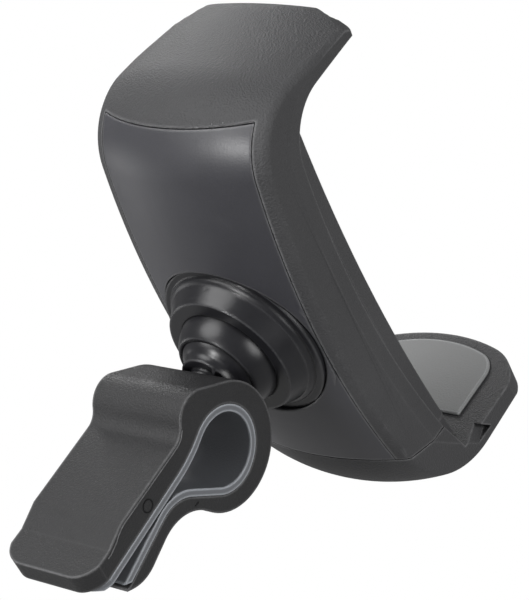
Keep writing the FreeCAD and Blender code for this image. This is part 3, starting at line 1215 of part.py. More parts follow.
clip = newBody("clip_body", atBall=False)
clipSide = sideSketch(clip, "SideProfile")
addOutline(clipSide, [
    dict(at=("Sizes.leafEndY", "Sizes.leafEndZ"), hold="xy"),
    dict(at=("Sizes.leafStepY", "Sizes.leafStepZ"), hold="xy"),
    dict(at=("Sizes.leafBendY", "Sizes.leafBendZ"), hold="xy", angle="180 - Sizes.leafAngle"),
    dict(at=("Sizes.crestY + 6.2", "Sizes.leafBendZ + 0.9"), smooth=True, go="right",
         radius="Sizes.napeRadius"),
    dict(at=("Sizes.crestY + 2.8", "Sizes.crestZ + 2.8"), smooth=True, go="left",
         radius="Sizes.crestRadius", centre=("Sizes.crestY", "Sizes.crestZ")),
    dict(at=("Sizes.crestY - 3.5", "Sizes.crestZ + 2"), smooth=True),
    dict(at=("Sizes.loopY - 8", "Sizes.loopZ + 4"), smooth=True, go="left", long=True,
         radius="Sizes.loopRadius", centre=("Sizes.loopY", "Sizes.loopZ")),
    dict(at=("Sizes.loopY + 7.9", "Sizes.loopZ - 4.8"), smooth=True, go="right",
         radius="Sizes.bellyRadius", centre=("Sizes.bellyY", "Sizes.bellyZ"), free="y"),
    dict(at=("Sizes.bellyY + 2", "Sizes.bellyZ + Sizes.bellyRadius - 0.2"), smooth=True),
    dict(at=("Sizes.flareY - 1.5", "Sizes.flareZ - Sizes.flareRadius"), smooth=True, go="left",
         radius="Sizes.flareRadius", centre=("Sizes.flareY", "Sizes.flareZ")),
    dict(at=("Sizes.lowLeafEndY", "Sizes.flareZ - Sizes.flareRadius + 0.7"), hold="x"),
    dict(at=("Sizes.leafEndY", "Sizes.mouthZ + 2"), hold="xy"),
])
pad(clip, "SideShape", clipSide, "2 * Sizes.clipHalf", midplane=True)
mouth = sideSketch(clip, "MouthOutline")
addOutline(mouth, mouthSteps("0", "3"))
throughPocket(clip, "Mouth", mouth)
cutLeafEnd(clip, "Sizes.leafEndY")
stemSeat = faceSketch(clip, "StemSeatOutline", "Sizes.footY - Sizes.ballReach")
addCircles(stemSeat, [("0", "0", "Sizes.shoulderRadius + Sizes.seatFit")])
pocket(clip, "StemSeat", stemSeat, "2 * Sizes.cutRoom", reverse=True)
footHole = faceSketch(clip, "FootHoleOutline", "Sizes.footEndY - Sizes.ballReach")
addCircles(footHole, [("0", "0", "Sizes.footRadius + Sizes.seatFit")])
pocket(clip, "FootHole", footHole, "2 * Sizes.cutRoom", reverse=True)
stemScrewHole = faceSketch(clip, "ScrewHoleOutline", "Sizes.footY - Sizes.ballReach")
addCircles(stemScrewHole, [("0", "0", "Sizes.stemScrewRadius + Sizes.screwClear")])
pocket(clip, "ScrewHole", stemScrewHole, "Sizes.cutRoom")
stemScrewSeat = faceSketch(clip, "ScrewSeatOutline", "Sizes.stemSeatY - Sizes.ballReach")
addCircles(stemScrewSeat, [("0", "0", "Sizes.stemScrewHead + Sizes.screwClear")])
pocket(clip, "ScrewSeat", stemScrewSeat, "Sizes.cutRoom")

# Rubber liner of the clip

liner = newBody("clip_liner", atBall=False)
linerSide = sideSketch(liner, "OuterOutline")
addOutline(linerSide, mouthSteps("Sizes.seatFit", "-Sizes.linerShort"))
pad(liner, "Filling", linerSide, "2 * Sizes.linerHalf", midplane=True)
linerMouth = sideSketch(liner, "InnerOutline")
addOutline(linerMouth, mouthSteps("Sizes.linerThickness", "3"))
throughPocket(liner, "Opening", linerMouth)
cutLeafEnd(liner, "(Sizes.leafEndY - Sizes.linerShort)")

# Checks, then one file per piece

doc.recompute()
pieces = [item for item in doc.Objects if item.TypeId == "PartDesign::Body" and item != roof]
for item in doc.Objects:
    if "Invalid" in item.State or "Error" in item.State:
        raise RuntimeError(f"{item.Name}: {item.State}")
for piece in pieces:
    if piece.Shape.isNull() or not piece.Shape.isValid():
        raise RuntimeError(f"{piece.Label} has no valid shape")
os.makedirs("parts", exist_ok=True)
for piece in pieces:
    piece.Shape.exportStep(f"parts/{piece.Label}.step")
    print(piece.Label, len(piece.Shape.Solids), round(piece.Shape.Volume, 1))
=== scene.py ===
import bpy
import bmesh
import json
import math
from mathutils import Matrix, Vector
from mathutils.bvhtree import BVHTree


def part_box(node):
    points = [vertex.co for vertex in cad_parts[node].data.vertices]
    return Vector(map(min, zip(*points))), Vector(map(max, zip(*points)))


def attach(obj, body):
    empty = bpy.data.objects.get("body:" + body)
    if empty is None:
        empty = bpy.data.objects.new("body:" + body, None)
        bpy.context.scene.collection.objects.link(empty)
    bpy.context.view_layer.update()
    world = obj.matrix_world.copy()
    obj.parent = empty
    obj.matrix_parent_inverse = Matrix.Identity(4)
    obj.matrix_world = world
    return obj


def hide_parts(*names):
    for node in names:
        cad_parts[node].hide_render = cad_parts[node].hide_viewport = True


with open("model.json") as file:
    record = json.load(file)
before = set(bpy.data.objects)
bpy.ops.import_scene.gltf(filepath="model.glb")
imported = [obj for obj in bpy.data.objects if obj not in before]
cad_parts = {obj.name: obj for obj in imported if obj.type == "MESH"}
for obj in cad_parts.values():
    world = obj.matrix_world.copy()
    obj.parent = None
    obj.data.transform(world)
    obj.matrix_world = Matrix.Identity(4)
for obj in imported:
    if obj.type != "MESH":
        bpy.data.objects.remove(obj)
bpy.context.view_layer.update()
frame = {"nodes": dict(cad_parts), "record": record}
nodes = frame["nodes"]
print("frame loaded:", len(nodes), "nodes")


# Node helpers

def addNode(tree, kind, at=(0, 0), **values):
    node = tree.nodes.new(kind)
    node.location = at
    for name, value in values.items():
        setattr(node, name, value)
    return node


def mathNode(tree, operation, first, second=None, clamp=False):
    node = addNode(tree, "ShaderNodeMath", operation=operation, use_clamp=clamp)
    for index, value in enumerate((first, second)):
        if value is None:
            continue
        if isinstance(value, (int, float)):
            node.inputs[index].default_value = value
        else:
            tree.links.new(value, node.inputs[index])
    return node.outputs[0]


def mixColour(tree, factor, first, second):
    node = addNode(tree, "ShaderNodeMix", data_type="RGBA")
    for index, value in ((0, factor), (6, first), (7, second)):
        if isinstance(value, (int, float, tuple)):
            node.inputs[index].default_value = value
        else:
            tree.links.new(value, node.inputs[index])
    return node.outputs[2]


def newGroup(name, inputs, outputs):
    tree = bpy.data.node_groups.new(name, "ShaderNodeTree")
    for label, value in inputs.items():
        socket = tree.interface.new_socket(label, in_out="INPUT", socket_type="NodeSocketFloat")
        socket.default_value = value
    for label in outputs:
        kind = "NodeSocketVector" if label == "Normal" else "NodeSocketFloat"
        tree.interface.new_socket(label, in_out="OUTPUT", socket_type=kind)
    return tree, addNode(tree, "NodeGroupInput", (-900, 0)), addNode(tree, "NodeGroupOutput", (900, 0))


# Effects shared by the mouldings

grainShape = {"detail": 3.0, "pitScale": 0.7, "slowScale": 60.0, "slowDetail": 4.0, "fineShare": 0.5,
              "slowShare": 0.5}
edgeHighlightAndWearShape = {"samples": 6, "noiseScale": 900.0, "noiseDetail": 5.0}
scratchShape = {"stretch": (1.0, 14.0, 2.0), "turn": (0.4, 0.2, 0.9), "detail": 6.0, "level": 0.62,
                "sharpness": 8.0}
seamShadeShape = {"samples": 8, "power": 1.6}


def mouldGrainGroup():
    tree, given, out = newGroup("mouldGrain", {"Scale": 4000.0, "Pits": 0.5}, ["Height", "Tone"])
    coords = addNode(tree, "ShaderNodeTexCoord")
    fine = addNode(tree, "ShaderNodeTexNoise")
    fine.inputs["Detail"].default_value = grainShape["detail"]
    tree.links.new(coords.outputs["Object"], fine.inputs["Vector"])
    tree.links.new(given.outputs["Scale"], fine.inputs["Scale"])
    pits = addNode(tree, "ShaderNodeTexVoronoi")
    tree.links.new(coords.outputs["Object"], pits.inputs["Vector"])
    pitScale = mathNode(tree, "MULTIPLY", given.outputs["Scale"], grainShape["pitScale"])
    tree.links.new(pitScale, pits.inputs["Scale"])
    slow = addNode(tree, "ShaderNodeTexNoise")
    slow.inputs["Scale"].default_value = grainShape["slowScale"]
    slow.inputs["Detail"].default_value = grainShape["slowDetail"]
    tree.links.new(coords.outputs["Object"], slow.inputs["Vector"])
    pitted = mathNode(tree, "MULTIPLY", pits.outputs["Distance"], given.outputs["Pits"])
    height = mathNode(tree, "ADD", fine.outputs["Fac"], pitted)
    tree.links.new(height, out.inputs["Height"])
    finePart = mathNode(tree, "MULTIPLY", fine.outputs["Fac"], grainShape["fineShare"])
    slowPart = mathNode(tree, "MULTIPLY", slow.outputs["Fac"], grainShape["slowShare"])
    tree.links.new(mathNode(tree, "ADD", finePart, slowPart), out.inputs["Tone"])
    return tree


# Edge mask from the Bevel node: real edge wear and painted highlight along creases and rims, in one mask.
def edgeHighlightAndWearGroup():
    tree, given, out = newGroup("paintedEdgeHighlightAndWear", {"Radius": 0.0004, "Gain": 6.0, "Breakup": 0.4},
                                ["Mask", "Normal"])
    soft = addNode(tree, "ShaderNodeBevel", samples=edgeHighlightAndWearShape["samples"])
    tree.links.new(given.outputs["Radius"], soft.inputs["Radius"])
    tree.links.new(soft.outputs["Normal"], out.inputs["Normal"])
    geometry = addNode(tree, "ShaderNodeNewGeometry")
    turn = addNode(tree, "ShaderNodeVectorMath", operation="DOT_PRODUCT")
    tree.links.new(soft.outputs["Normal"], turn.inputs[0])
    tree.links.new(geometry.outputs["Normal"], turn.inputs[1])
    coords = addNode(tree, "ShaderNodeTexCoord")
    noise = addNode(tree, "ShaderNodeTexNoise")
    noise.inputs["Scale"].default_value = edgeHighlightAndWearShape["noiseScale"]
    noise.inputs["Detail"].default_value = edgeHighlightAndWearShape["noiseDetail"]
    tree.links.new(coords.outputs["Object"], noise.inputs["Vector"])
    away = mathNode(tree, "SUBTRACT", 1.0, turn.outputs["Value"])
    sharp = mathNode(tree, "MULTIPLY", away, given.outputs["Gain"], clamp=True)
    patchy = mathNode(tree, "MULTIPLY", noise.outputs["Fac"], given.outputs["Breakup"])
    keep = mathNode(tree, "SUBTRACT", 1.0, patchy)
    tree.links.new(mathNode(tree, "MULTIPLY", sharp, keep, clamp=True), out.inputs["Mask"])
    return tree


def fineScratchGroup():
    tree, given, out = newGroup("fineScratches", {"Scale": 90.0, "Amount": 0.5}, ["Mask"])
    coords = addNode(tree, "ShaderNodeTexCoord")
    stretched = addNode(tree, "ShaderNodeMapping")
    stretched.inputs["Scale"].default_value = scratchShape["stretch"]
    stretched.inputs["Rotation"].default_value = scratchShape["turn"]
    tree.links.new(coords.outputs["Object"], stretched.inputs["Vector"])
    noise = addNode(tree, "ShaderNodeTexNoise")
    noise.inputs["Detail"].default_value = scratchShape["detail"]
    tree.links.new(stretched.outputs["Vector"], noise.inputs["Vector"])
    tree.links.new(given.outputs["Scale"], noise.inputs["Scale"])
    over = mathNode(tree, "SUBTRACT", noise.outputs["Fac"], scratchShape["level"])
    cut = mathNode(tree, "MULTIPLY", over, scratchShape["sharpness"], clamp=True)
    tree.links.new(mathNode(tree, "MULTIPLY", cut, given.outputs["Amount"]), out.inputs["Mask"])
    return tree


# Painted shade: ambient occlusion darkens seams, gaps and contact areas between parts.
def seamShadeGroup():
    tree, given, out = newGroup("seamShade", {"Distance": 0.0009}, ["Open"])
    near = addNode(tree, "ShaderNodeAmbientOcclusion", samples=seamShadeShape["samples"])
    tree.links.new(given.outputs["Distance"], near.inputs["Distance"])
    opened = mathNode(tree, "POWER", near.outputs["AO"], seamShadeShape["power"])
    tree.links.new(opened, out.inputs["Open"])
    return tree


groups = {"grain": mouldGrainGroup(), "edgeHighlightAndWear": edgeHighlightAndWearGroup(), "scratches": fineScratchGroup(),
          "paintedSeamShade": seamShadeGroup()}


def placeGroup(tree, name, values):
    node = addNode(tree, "ShaderNodeGroup")
    node.node_tree = groups[name]
    for label, value in values.items():
        node.inputs[label].default_value = value
    return node


def moulding(name, look):
    material = bpy.data.materials.new(name)
    material.use_nodes = True
    tree = material.node_tree
    shader = tree.nodes["Principled BSDF"]
    grain = placeGroup(tree, "grain", {"Scale": look["grainScale"], "Pits": look["pits"]})
    edgeHighlightAndWear = placeGroup(tree, "edgeHighlightAndWear", {"Radius": look["edgeRadius"], "Gain": look["highlightAndWearGain"],
                                     "Breakup": look["highlightAndWearBreakup"]})
    dark = tuple(c * (1 - look["toneSwing"]) for c in look["colour"]) + (1.0,)
    light = tuple(c * (1 + look["toneSwing"]) for c in look["colour"]) + (1.0,)
    body = mixColour(tree, grain.outputs["Tone"], dark, light)
    paintedSeamShade = placeGroup(tree, "paintedSeamShade", {"Distance": look["paintedSeamShadeReach"]})
    rubbedAndHighlitMask = mathNode(tree, "MULTIPLY", edgeHighlightAndWear.outputs["Mask"], paintedSeamShade.outputs["Open"])
    # Painted highlight and wear: edges and creases lightened towards the worn colour.
    edgeLitAndWornBody = mixColour(tree, rubbedAndHighlitMask, body, look["wornAndHighlightColour"] + (1.0,))
    # Painted shade: colour mixed towards near-black in seams, gaps and creases where the occlusion closes
    # in.
    shaded = mixColour(tree, paintedSeamShade.outputs["Open"], look["paintedSeamShadeColour"] + (1.0,), edgeLitAndWornBody)
    tree.links.new(shaded, shader.inputs["Base Color"])
    uneven = mathNode(tree, "SUBTRACT", grain.outputs["Tone"], look["toneMiddle"])
    swing = mathNode(tree, "MULTIPLY", uneven, look["roughSwing"])
    rough = mathNode(tree, "ADD", swing, look["roughness"])
    if look.get("scratches"):
        marks = placeGroup(tree, "scratches", {"Scale": look["scratchScale"], "Amount": look["scratches"]})
        rough = mathNode(tree, "ADD", rough, marks.outputs["Mask"])
    polished = mathNode(tree, "MULTIPLY", edgeHighlightAndWear.outputs["Mask"], -look["wornPolish"])
    tree.links.new(mathNode(tree, "ADD", rough, polished, clamp=True), shader.inputs["Roughness"])
    bump = addNode(tree, "ShaderNodeBump")
    bump.inputs["Strength"].default_value = look["bump"]
    bump.inputs["Distance"].default_value = look["bumpDepth"]
    tree.links.new(grain.outputs["Height"], bump.inputs["Height"])
    tree.links.new(edgeHighlightAndWear.outputs["Normal"], bump.inputs["Normal"])
    tree.links.new(bump.outputs["Normal"], shader.inputs["Normal"])
    shader.inputs["Specular IOR Level"].default_value = look["specular"]
    shader.inputs["Metallic"].default_value = look.get("metallic", 0.0)
    return material


plainLook = {
    "colour": (0.050, 0.050, 0.052), "toneSwing": 0.45, "toneMiddle": 0.5, "grainScale": 4600.0,
    "pits": 0.9,
    # The worn colour lightens edges: partly wear, partly painted crease highlight.
    "edgeRadius": 0.0006, "highlightAndWearGain": 9.0, "highlightAndWearBreakup": 0.7, "wornAndHighlightColour": (0.20, 0.20, 0.205),
    # Near-black painted shade colour for seams and gaps, within this reach.
    "paintedSeamShadeReach": 0.0007, "paintedSeamShadeColour": (0.004, 0.004, 0.005),
    "roughness": 0.56, "roughSwing": 0.3, "wornPolish": 0.16, "bump": 0.75, "bumpDepth": 0.00010,
    "specular": 0.28,
}
looks = {
    "frame_plastic": dict(plainLook),
    "cover_plastic": dict(plainLook, colour=(0.040, 0.040, 0.046), roughness=0.40, bump=0.12,
                          grainScale=5200.0, pits=0.3, scratches=0.10, scratchScale=60.0, specular=0.5),
    "gloss_plastic": dict(plainLook, colour=(0.012, 0.012, 0.014), roughness=0.30, roughSwing=0.10,
                          bump=0.05, grainScale=1800.0, pits=0.2, scratches=0.15, scratchScale=140.0,
                          specular=0.36, wornAndHighlightColour=(0.09, 0.09, 0.094), toneSwing=0.2),
    "clip_plastic": dict(plainLook, colour=(0.024, 0.024, 0.025), roughness=0.52, bump=0.6),
    # The pale rims of the liner and pads are a painted highlight along their edges, with some wear.
    "liner_rubber": dict(plainLook, colour=(0.135, 0.141, 0.152), roughness=0.55,
                         wornAndHighlightColour=(0.55, 0.58, 0.62), bump=0.20, toneSwing=0.15, highlightAndWearBreakup=0.3),
    "pad_rubber": dict(plainLook, colour=(0.225, 0.228, 0.228), roughness=0.70,
                       wornAndHighlightColour=(0.60, 0.62, 0.63), bump=0.30, toneSwing=0.12, highlightAndWearBreakup=0.3),
    "steel": dict(plainLook, colour=(0.45, 0.45, 0.46), metallic=1.0, roughness=0.30,
                  wornAndHighlightColour=(0.6, 0.6, 0.6), bump=0.05, grainScale=2500.0),
}
finishes = {name: moulding(name, look) for name, look in looks.items()}
print("materials:", len(finishes))


# Pieces made from the frame's solids: merged and smoothed, with a fine bevel on three

bodies = frame["record"]["behaviour"]["bodies"]
bodyOf = {node: body for body, members in bodies.items() for node in members}
slotOf = {part["node"]: part["material_slot"] for part in frame["record"]["subparts"]}

jawSlices = {"yFrom": -0.064, "yTo": -0.036, "xFrom": -0.016, "xTo": 0.016, "step": 0.001,
             "above": 0.018, "snap": 0.00002}
softNose = {"from": -0.044, "to": -0.063, "half": 0.0162, "drop": 0.0016, "lowZ": 0.0315, "rise": 0.006,
            "swell": 0.03, "swellY": -0.050, "swellReach": 0.009, "passes": 3, "smoothing": 0.5,
            "smoothY": -0.053, "smoothZ": 0.0345}


def slicedJaw(work):
    for axis, first, last in ((1, jawSlices["yFrom"], jawSlices["yTo"]),
                              (0, jawSlices["xFrom"], jawSlices["xTo"])):
        count = round((last - first) / jawSlices["step"])
        for index in range(count + 1):
            place, normal = Vector((0, 0, 0)), Vector((0, 0, 0))
            place[axis] = first + index * jawSlices["step"]
            normal[axis] = 1.0
            high = [face for face in work.faces if max(v.co.z for v in face.verts) > jawSlices["above"]]
            edges = list({edge for face in high for edge in face.edges})
            verts = list({vert for face in high for vert in face.verts})
            bmesh.ops.bisect_plane(work, geom=verts + edges + high, plane_co=place, plane_no=normal,
                                   dist=jawSlices["snap"])


def shareBetween(value, first, last):
    return min(1.0, max(0.0, (value - first) / (last - first)))


def softenNose(work):
    look = softNose
    for vert in work.verts:
        x, y, z = vert.co
        nose = shareBetween(y, look["from"], look["to"])
        height = shareBetween(z, look["lowZ"], look["lowZ"] + look["rise"])
        swell = look["swell"] * max(0.0, 1.0 - abs(y - look["swellY"]) / look["swellReach"]) * height
        vert.co.x = x * (1.0 + swell)
        vert.co.z = z - look["drop"] * nose ** 2 * (x / look["half"]) ** 2 * height
    for _ in range(look["passes"]):
        crown = [vert for vert in work.verts if vert.co.y < look["smoothY"] and vert.co.z > look["smoothZ"]]
        bmesh.ops.smooth_vert(work, verts=crown, factor=look["smoothing"], use_axis_x=True,
                              use_axis_y=True, use_axis_z=True)


def edgedPiece(name, nodeName, edge):
    mesh = nodes[nodeName].data.copy()
    work = bmesh.new()
    work.from_mesh(mesh)
    bmesh.ops.remove_doubles(work, verts=work.verts, dist=edge["merge"])
    flat = math.radians(edge["flat"])
    bmesh.ops.dissolve_limit(work, angle_limit=flat, verts=work.verts, edges=work.edges)
    if edge.get("shape"):
        slicedJaw(work)
        edge["shape"](work)
    work.to_mesh(mesh)
    work.free()
    if mesh.has_custom_normals:
        mesh.normals_split_custom_set([(0, 0, 0)] * len(mesh.loops))
    for polygon in mesh.polygons:
        polygon.use_smooth = True
    mesh.set_sharp_from_angle(angle=math.radians(edge["sharp"]))
    piece = bpy.data.objects.new(name, mesh)
    bpy.context.scene.collection.objects.link(piece)
    mesh.materials.clear()
    mesh.materials.append(finishes[slotOf[nodeName]])
    if edge["width"] > 0:
        bevel = piece.modifiers.new("softEdges", "BEVEL")
        bevel.width = edge["width"]
        bevel.segments = edge["segments"]
        bevel.limit_method = "ANGLE"
        bevel.angle_limit = math.radians(edge["bevelFrom"])
        bevel.use_clamp_overlap = True
    shade = piece.modifiers.new("evenShading", "WEIGHTED_NORMAL")
    shade.keep_sharp = True
    shade.weight = edge["shadeWeight"]
    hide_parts(nodeName)
    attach(piece, bodyOf[nodeName])
    return piece


edgePlain = {"merge": 0.000004, "flat": 0.6, "sharp": 13.0, "width": 0.0, "segments": 2,
             "bevelFrom": 13.0, "shadeWeight": 60}
edged = {
    "front_frame": dict(edgePlain, shape=softenNose),
    "back_cover": edgePlain, "backrest_panel": edgePlain, "lower_jaw": edgePlain,
    "clip_body": dict(edgePlain, width=0.00025, bevelFrom=40.0), "clip_liner": edgePlain,
    "upper_jaw_pad": dict(edgePlain, width=0.00025),
    "lower_jaw_pad": dict(edgePlain, width=0.0003, bevelFrom=40.0),
    "socket_base": edgePlain, "socket_collar": edgePlain, "ball_stem": edgePlain,
}
pieceNames = {
    "front_frame": "frameMoulding", "back_cover": "coverMoulding", "backrest_panel": "backrestMoulding",
    "lower_jaw": "lowerJawMoulding", "clip_body": "clipMoulding", "clip_liner": "clipLinerRubber",
    "upper_jaw_pad": "upperPadRubber", "lower_jaw_pad": "lowerPadRubber", "socket_base": "socketFlange",
    "socket_collar": "socketCollarRing", "ball_stem": "ballAndStem",
}
pieces = {nodeName: edgedPiece(pieceNames[nodeName], nodeName, edge) for nodeName, edge in edged.items()}
for nodeName, node in nodes.items():
    if nodeName not in pieces:
        node.data.materials.clear()
        node.data.materials.append(finishes[slotOf[nodeName]])
print("pieces:", len(pieces))


# Geometry Nodes: wires along a path, and the coiled springs

growthShape = {"wireSides": 8, "spiralSteps": 16, "eyePoints": 24}


def newGrowth(name, inputs):
    tree = bpy.data.node_groups.new(name, "GeometryNodeTree")
    tree.interface.new_socket("Geometry", in_out="INPUT", socket_type="NodeSocketGeometry")
    for label, value in inputs.items():
        socket = tree.interface.new_socket(label, in_out="INPUT", socket_type="NodeSocketFloat")
        socket.default_value = value
    tree.interface.new_socket("Finish", in_out="INPUT", socket_type="NodeSocketMaterial")
    tree.interface.new_socket("Geometry", in_out="OUTPUT", socket_type="NodeSocketGeometry")
    return tree, addNode(tree, "NodeGroupInput", (-800, 0)), addNode(tree, "NodeGroupOutput", (800, 0))


def tubeOnCurve(tree, given, out, curve):
    profile = addNode(tree, "GeometryNodeCurvePrimitiveCircle")
    profile.inputs["Resolution"].default_value = growthShape["wireSides"]
    tree.links.new(given.outputs["Wire"], profile.inputs["Radius"])
    tube = addNode(tree, "GeometryNodeCurveToMesh")
    tube.inputs["Fill Caps"].default_value = True
    tree.links.new(curve, tube.inputs["Curve"])
    tree.links.new(profile.outputs["Curve"], tube.inputs["Profile Curve"])
    real = addNode(tree, "GeometryNodeRealizeInstances")
    tree.links.new(tube.outputs["Mesh"], real.inputs["Geometry"])
    finish = addNode(tree, "GeometryNodeSetMaterial")
    tree.links.new(real.outputs["Geometry"], finish.inputs["Geometry"])
    tree.links.new(given.outputs["Finish"], finish.inputs["Material"])
    tree.links.new(finish.outputs["Geometry"], out.inputs["Geometry"])


def wireGrowth():
    tree, given, out = newGrowth("wireAlongPath", {"Wire": 0.0001})
    path = addNode(tree, "GeometryNodeMeshToCurve")
    tree.links.new(given.outputs["Geometry"], path.inputs["Mesh"])
    tubeOnCurve(tree, given, out, path.outputs["Curve"])
    return tree


def coilGrowth():
    inputs = {"Wire": 0.0004, "Coil": 0.0011, "Eye": 0.0014, "Length": 0.03, "Turns": 30.0, "Span": 0.036}
    tree, given, out = newGrowth("coilSpring", inputs)
    spiral = addNode(tree, "GeometryNodeCurveSpiral")
    spiral.inputs["Resolution"].default_value = growthShape["spiralSteps"]
    for label, source in (("Rotations", "Turns"), ("Start Radius", "Coil"), ("End Radius", "Coil"),
                          ("Height", "Length")):
        tree.links.new(given.outputs[source], spiral.inputs[label])
    lowered = addNode(tree, "GeometryNodeTransform")
    centred = addNode(tree, "ShaderNodeCombineXYZ")
    tree.links.new(mathNode(tree, "MULTIPLY", given.outputs["Length"], -0.5), centred.inputs["Z"])
    tree.links.new(spiral.outputs["Curve"], lowered.inputs["Geometry"])
    tree.links.new(centred.outputs["Vector"], lowered.inputs["Translation"])
    joined = addNode(tree, "GeometryNodeJoinGeometry")
    tree.links.new(lowered.outputs["Geometry"], joined.inputs["Geometry"])
    for side in (-0.5, 0.5):
        ring = addNode(tree, "GeometryNodeCurvePrimitiveCircle")
        ring.inputs["Resolution"].default_value = growthShape["eyePoints"]
        tree.links.new(given.outputs["Eye"], ring.inputs["Radius"])
        upright = addNode(tree, "GeometryNodeTransform")
        upright.inputs["Rotation"].default_value = (math.pi / 2, 0, 0)
        place = addNode(tree, "ShaderNodeCombineXYZ")
        tree.links.new(mathNode(tree, "MULTIPLY", given.outputs["Span"], side), place.inputs["Z"])
        tree.links.new(ring.outputs["Curve"], upright.inputs["Geometry"])
        tree.links.new(place.outputs["Vector"], upright.inputs["Translation"])
        tree.links.new(upright.outputs["Geometry"], joined.inputs["Geometry"])
    tubeOnCurve(tree, given, out, joined.outputs["Geometry"])
    return tree


def grown(name, tree, values, path, place=(0, 0, 0)):
    holder = bpy.data.objects.new(name + "Path", path)
    bpy.context.scene.collection.objects.link(holder)
    modifier = holder.modifiers.new("grow", "NODES")
    modifier.node_group = tree
    for item in tree.interface.items_tree:
        if item.in_out == "INPUT" and item.name in values:
            modifier[item.identifier] = values[item.name]
    bpy.context.view_layer.update()
    evaluated = holder.evaluated_get(bpy.context.evaluated_depsgraph_get())
    mesh = bpy.data.meshes.new_from_object(evaluated)
    bpy.data.objects.remove(holder)
    mesh.transform(Matrix.Translation(place))
    work = bmesh.new()
    work.from_mesh(mesh)
    bmesh.ops.recalc_face_normals(work, faces=work.faces)
    for face in work.faces:
        face.smooth = True
    work.to_mesh(mesh)
    work.free()
    piece = bpy.data.objects.new(name, mesh)
    bpy.context.scene.collection.objects.link(piece)
    return piece


def pathMesh(name, points, closed=False):
    mesh = bpy.data.meshes.new(name)
    edges = [(index, index + 1) for index in range(len(points) - 1)]
    if closed:
        edges.append((len(points) - 1, 0))
    mesh.from_pydata(points, edges, [])
    return mesh


wireTree = wireGrowth()
coilTree = coilGrowth()

springLook = {"wire": 0.0004, "coilReach": 0.00115, "pitch": 0.00112}


def coilSprings():
    wire = springLook["wire"]
    for side in ("left", "right"):
        nodeName = "jaw_spring_" + side
        low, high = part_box(nodeName)
        middle = (low + high) / 2
        eye = (high.x - low.x) / 2 - wire
        span = (high.z - low.z) - 2 * (eye + wire)
        length = span - 2 * springLook["coilReach"]
        values = {"Wire": wire, "Coil": (high.y - low.y) / 2 - wire, "Eye": eye, "Length": length,
                  "Turns": length / springLook["pitch"], "Span": span, "Finish": finishes["steel"]}
        spring = grown("coilSpring" + side.capitalize(), coilTree, values, pathMesh("none", []), middle)
        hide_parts(nodeName)
        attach(spring, bodyOf[nodeName])


coilSprings()
print("springs coiled")


# Moulding marks on the clip and the top seam: a light parting line (painted highlight), light seam flecks,
# and a near-black ejector ring and gate tick (painted shade)

marks = {
    "lineFrom": -0.0085, "lineTo": 0.0118, "lineStep": 0.0008, "lineDrop": 0.00045, "jogY": 0.0084,
    "jog": 0.00018, "wire": 0.00009, "ejectorAt": (0.00217, 0.00233), "ejectorRadius": 0.0009,
    "gateAt": (-0.00463, -0.00452), "gateLength": 0.0008,
    "flecks": ((-0.00802, -0.0375), (-0.00962, -0.03795)), "fleckRadius": 0.00012,
    "inset": 0.001, "lookFrom": 0.08, "ejectorPoints": 24, "fleckSteps": 2,
}
# Light grey finish: on the parting line it is a painted highlight along the ridge; the seam flecks take the
# same light colour.
fleckAndLineHighlightLook = dict(plainLook, colour=(0.30, 0.30, 0.31), paintedSeamShadeReach=0.00002)
# Near-black finish for the ejector ring and gate tick: painted shade along their outlines.
pitShadeLook = dict(plainLook, colour=(0.008, 0.008, 0.009), highlightAndWearGain=0.0)
finishes["mould_fleck_and_line_highlight"] = moulding("mould_fleck_and_line_highlight", fleckAndLineHighlightLook)
finishes["mould_pit_shade"] = moulding("mould_pit_shade", pitShadeLook)


def topOf(nodeName, x, y):
    mesh = nodes[nodeName].data
    tree = BVHTree.FromPolygons([v.co for v in mesh.vertices], [p.vertices for p in mesh.polygons])
    return tree.ray_cast(Vector((x, y, marks["lookFrom"])), Vector((0, 0, -1)))[0].z


def clipMarks():
    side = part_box("clip_body")[0].x
    inside = side + marks["inset"]
    count = int((marks["lineTo"] - marks["lineFrom"]) / marks["lineStep"])
    ys = [marks["lineFrom"] + index * marks["lineStep"] for index in range(count + 1)]
    line = []
    for y in ys:
        drop = marks["lineDrop"] + (marks["jog"] if y > marks["jogY"] else 0.0)
        line.append((side, y, topOf("clip_body", inside, y) - drop))
    ejectorY, ejectorZ = marks["ejectorAt"]
    ring = []
    for index in range(marks["ejectorPoints"]):
        angle = math.tau * index / marks["ejectorPoints"]
        reach = marks["ejectorRadius"]
        ring.append((side, ejectorY + reach * math.cos(angle), ejectorZ + reach * math.sin(angle)))
    gateY, gateZ = marks["gateAt"]
    tick = [(side, gateY - marks["gateLength"] / 2, gateZ), (side, gateY + marks["gateLength"] / 2, gateZ)]
    # The parting line's light colour is a painted highlight; the ejector ring and gate tick are near-black
    # painted shade.
    for name, points, closed, finish in (("clipPartingLine", line, False, "mould_fleck_and_line_highlight"),
                                         ("clipEjectorMark", ring, True, "mould_pit_shade"),
                                         ("clipGateTick", tick, False, "mould_pit_shade")):
        values = {"Wire": marks["wire"], "Finish": finishes[finish]}
        piece = grown(name, wireTree, values, pathMesh(name, points, closed))
        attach(piece, bodyOf["clip_body"])


def seamFlecks():
    for number, (x, y) in enumerate(marks["flecks"], start=1):
        mesh = bpy.data.meshes.new("seamFleck%d" % number)
        work = bmesh.new()
        place = Matrix.Translation((x, y, topOf("front_frame", x, y)))
        bmesh.ops.create_icosphere(work, subdivisions=marks["fleckSteps"], radius=marks["fleckRadius"],
                                   matrix=place)
        work.to_mesh(mesh)
        work.free()
        mesh.materials.append(finishes["mould_fleck_and_line_highlight"])
        fleck = bpy.data.objects.new(mesh.name, mesh)
        bpy.context.scene.collection.objects.link(fleck)
        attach(fleck, bodyOf["front_frame"])


clipMarks()
seamFlecks()
print("moulding marks placed")


# Studio: pale floor, soft light and the camera

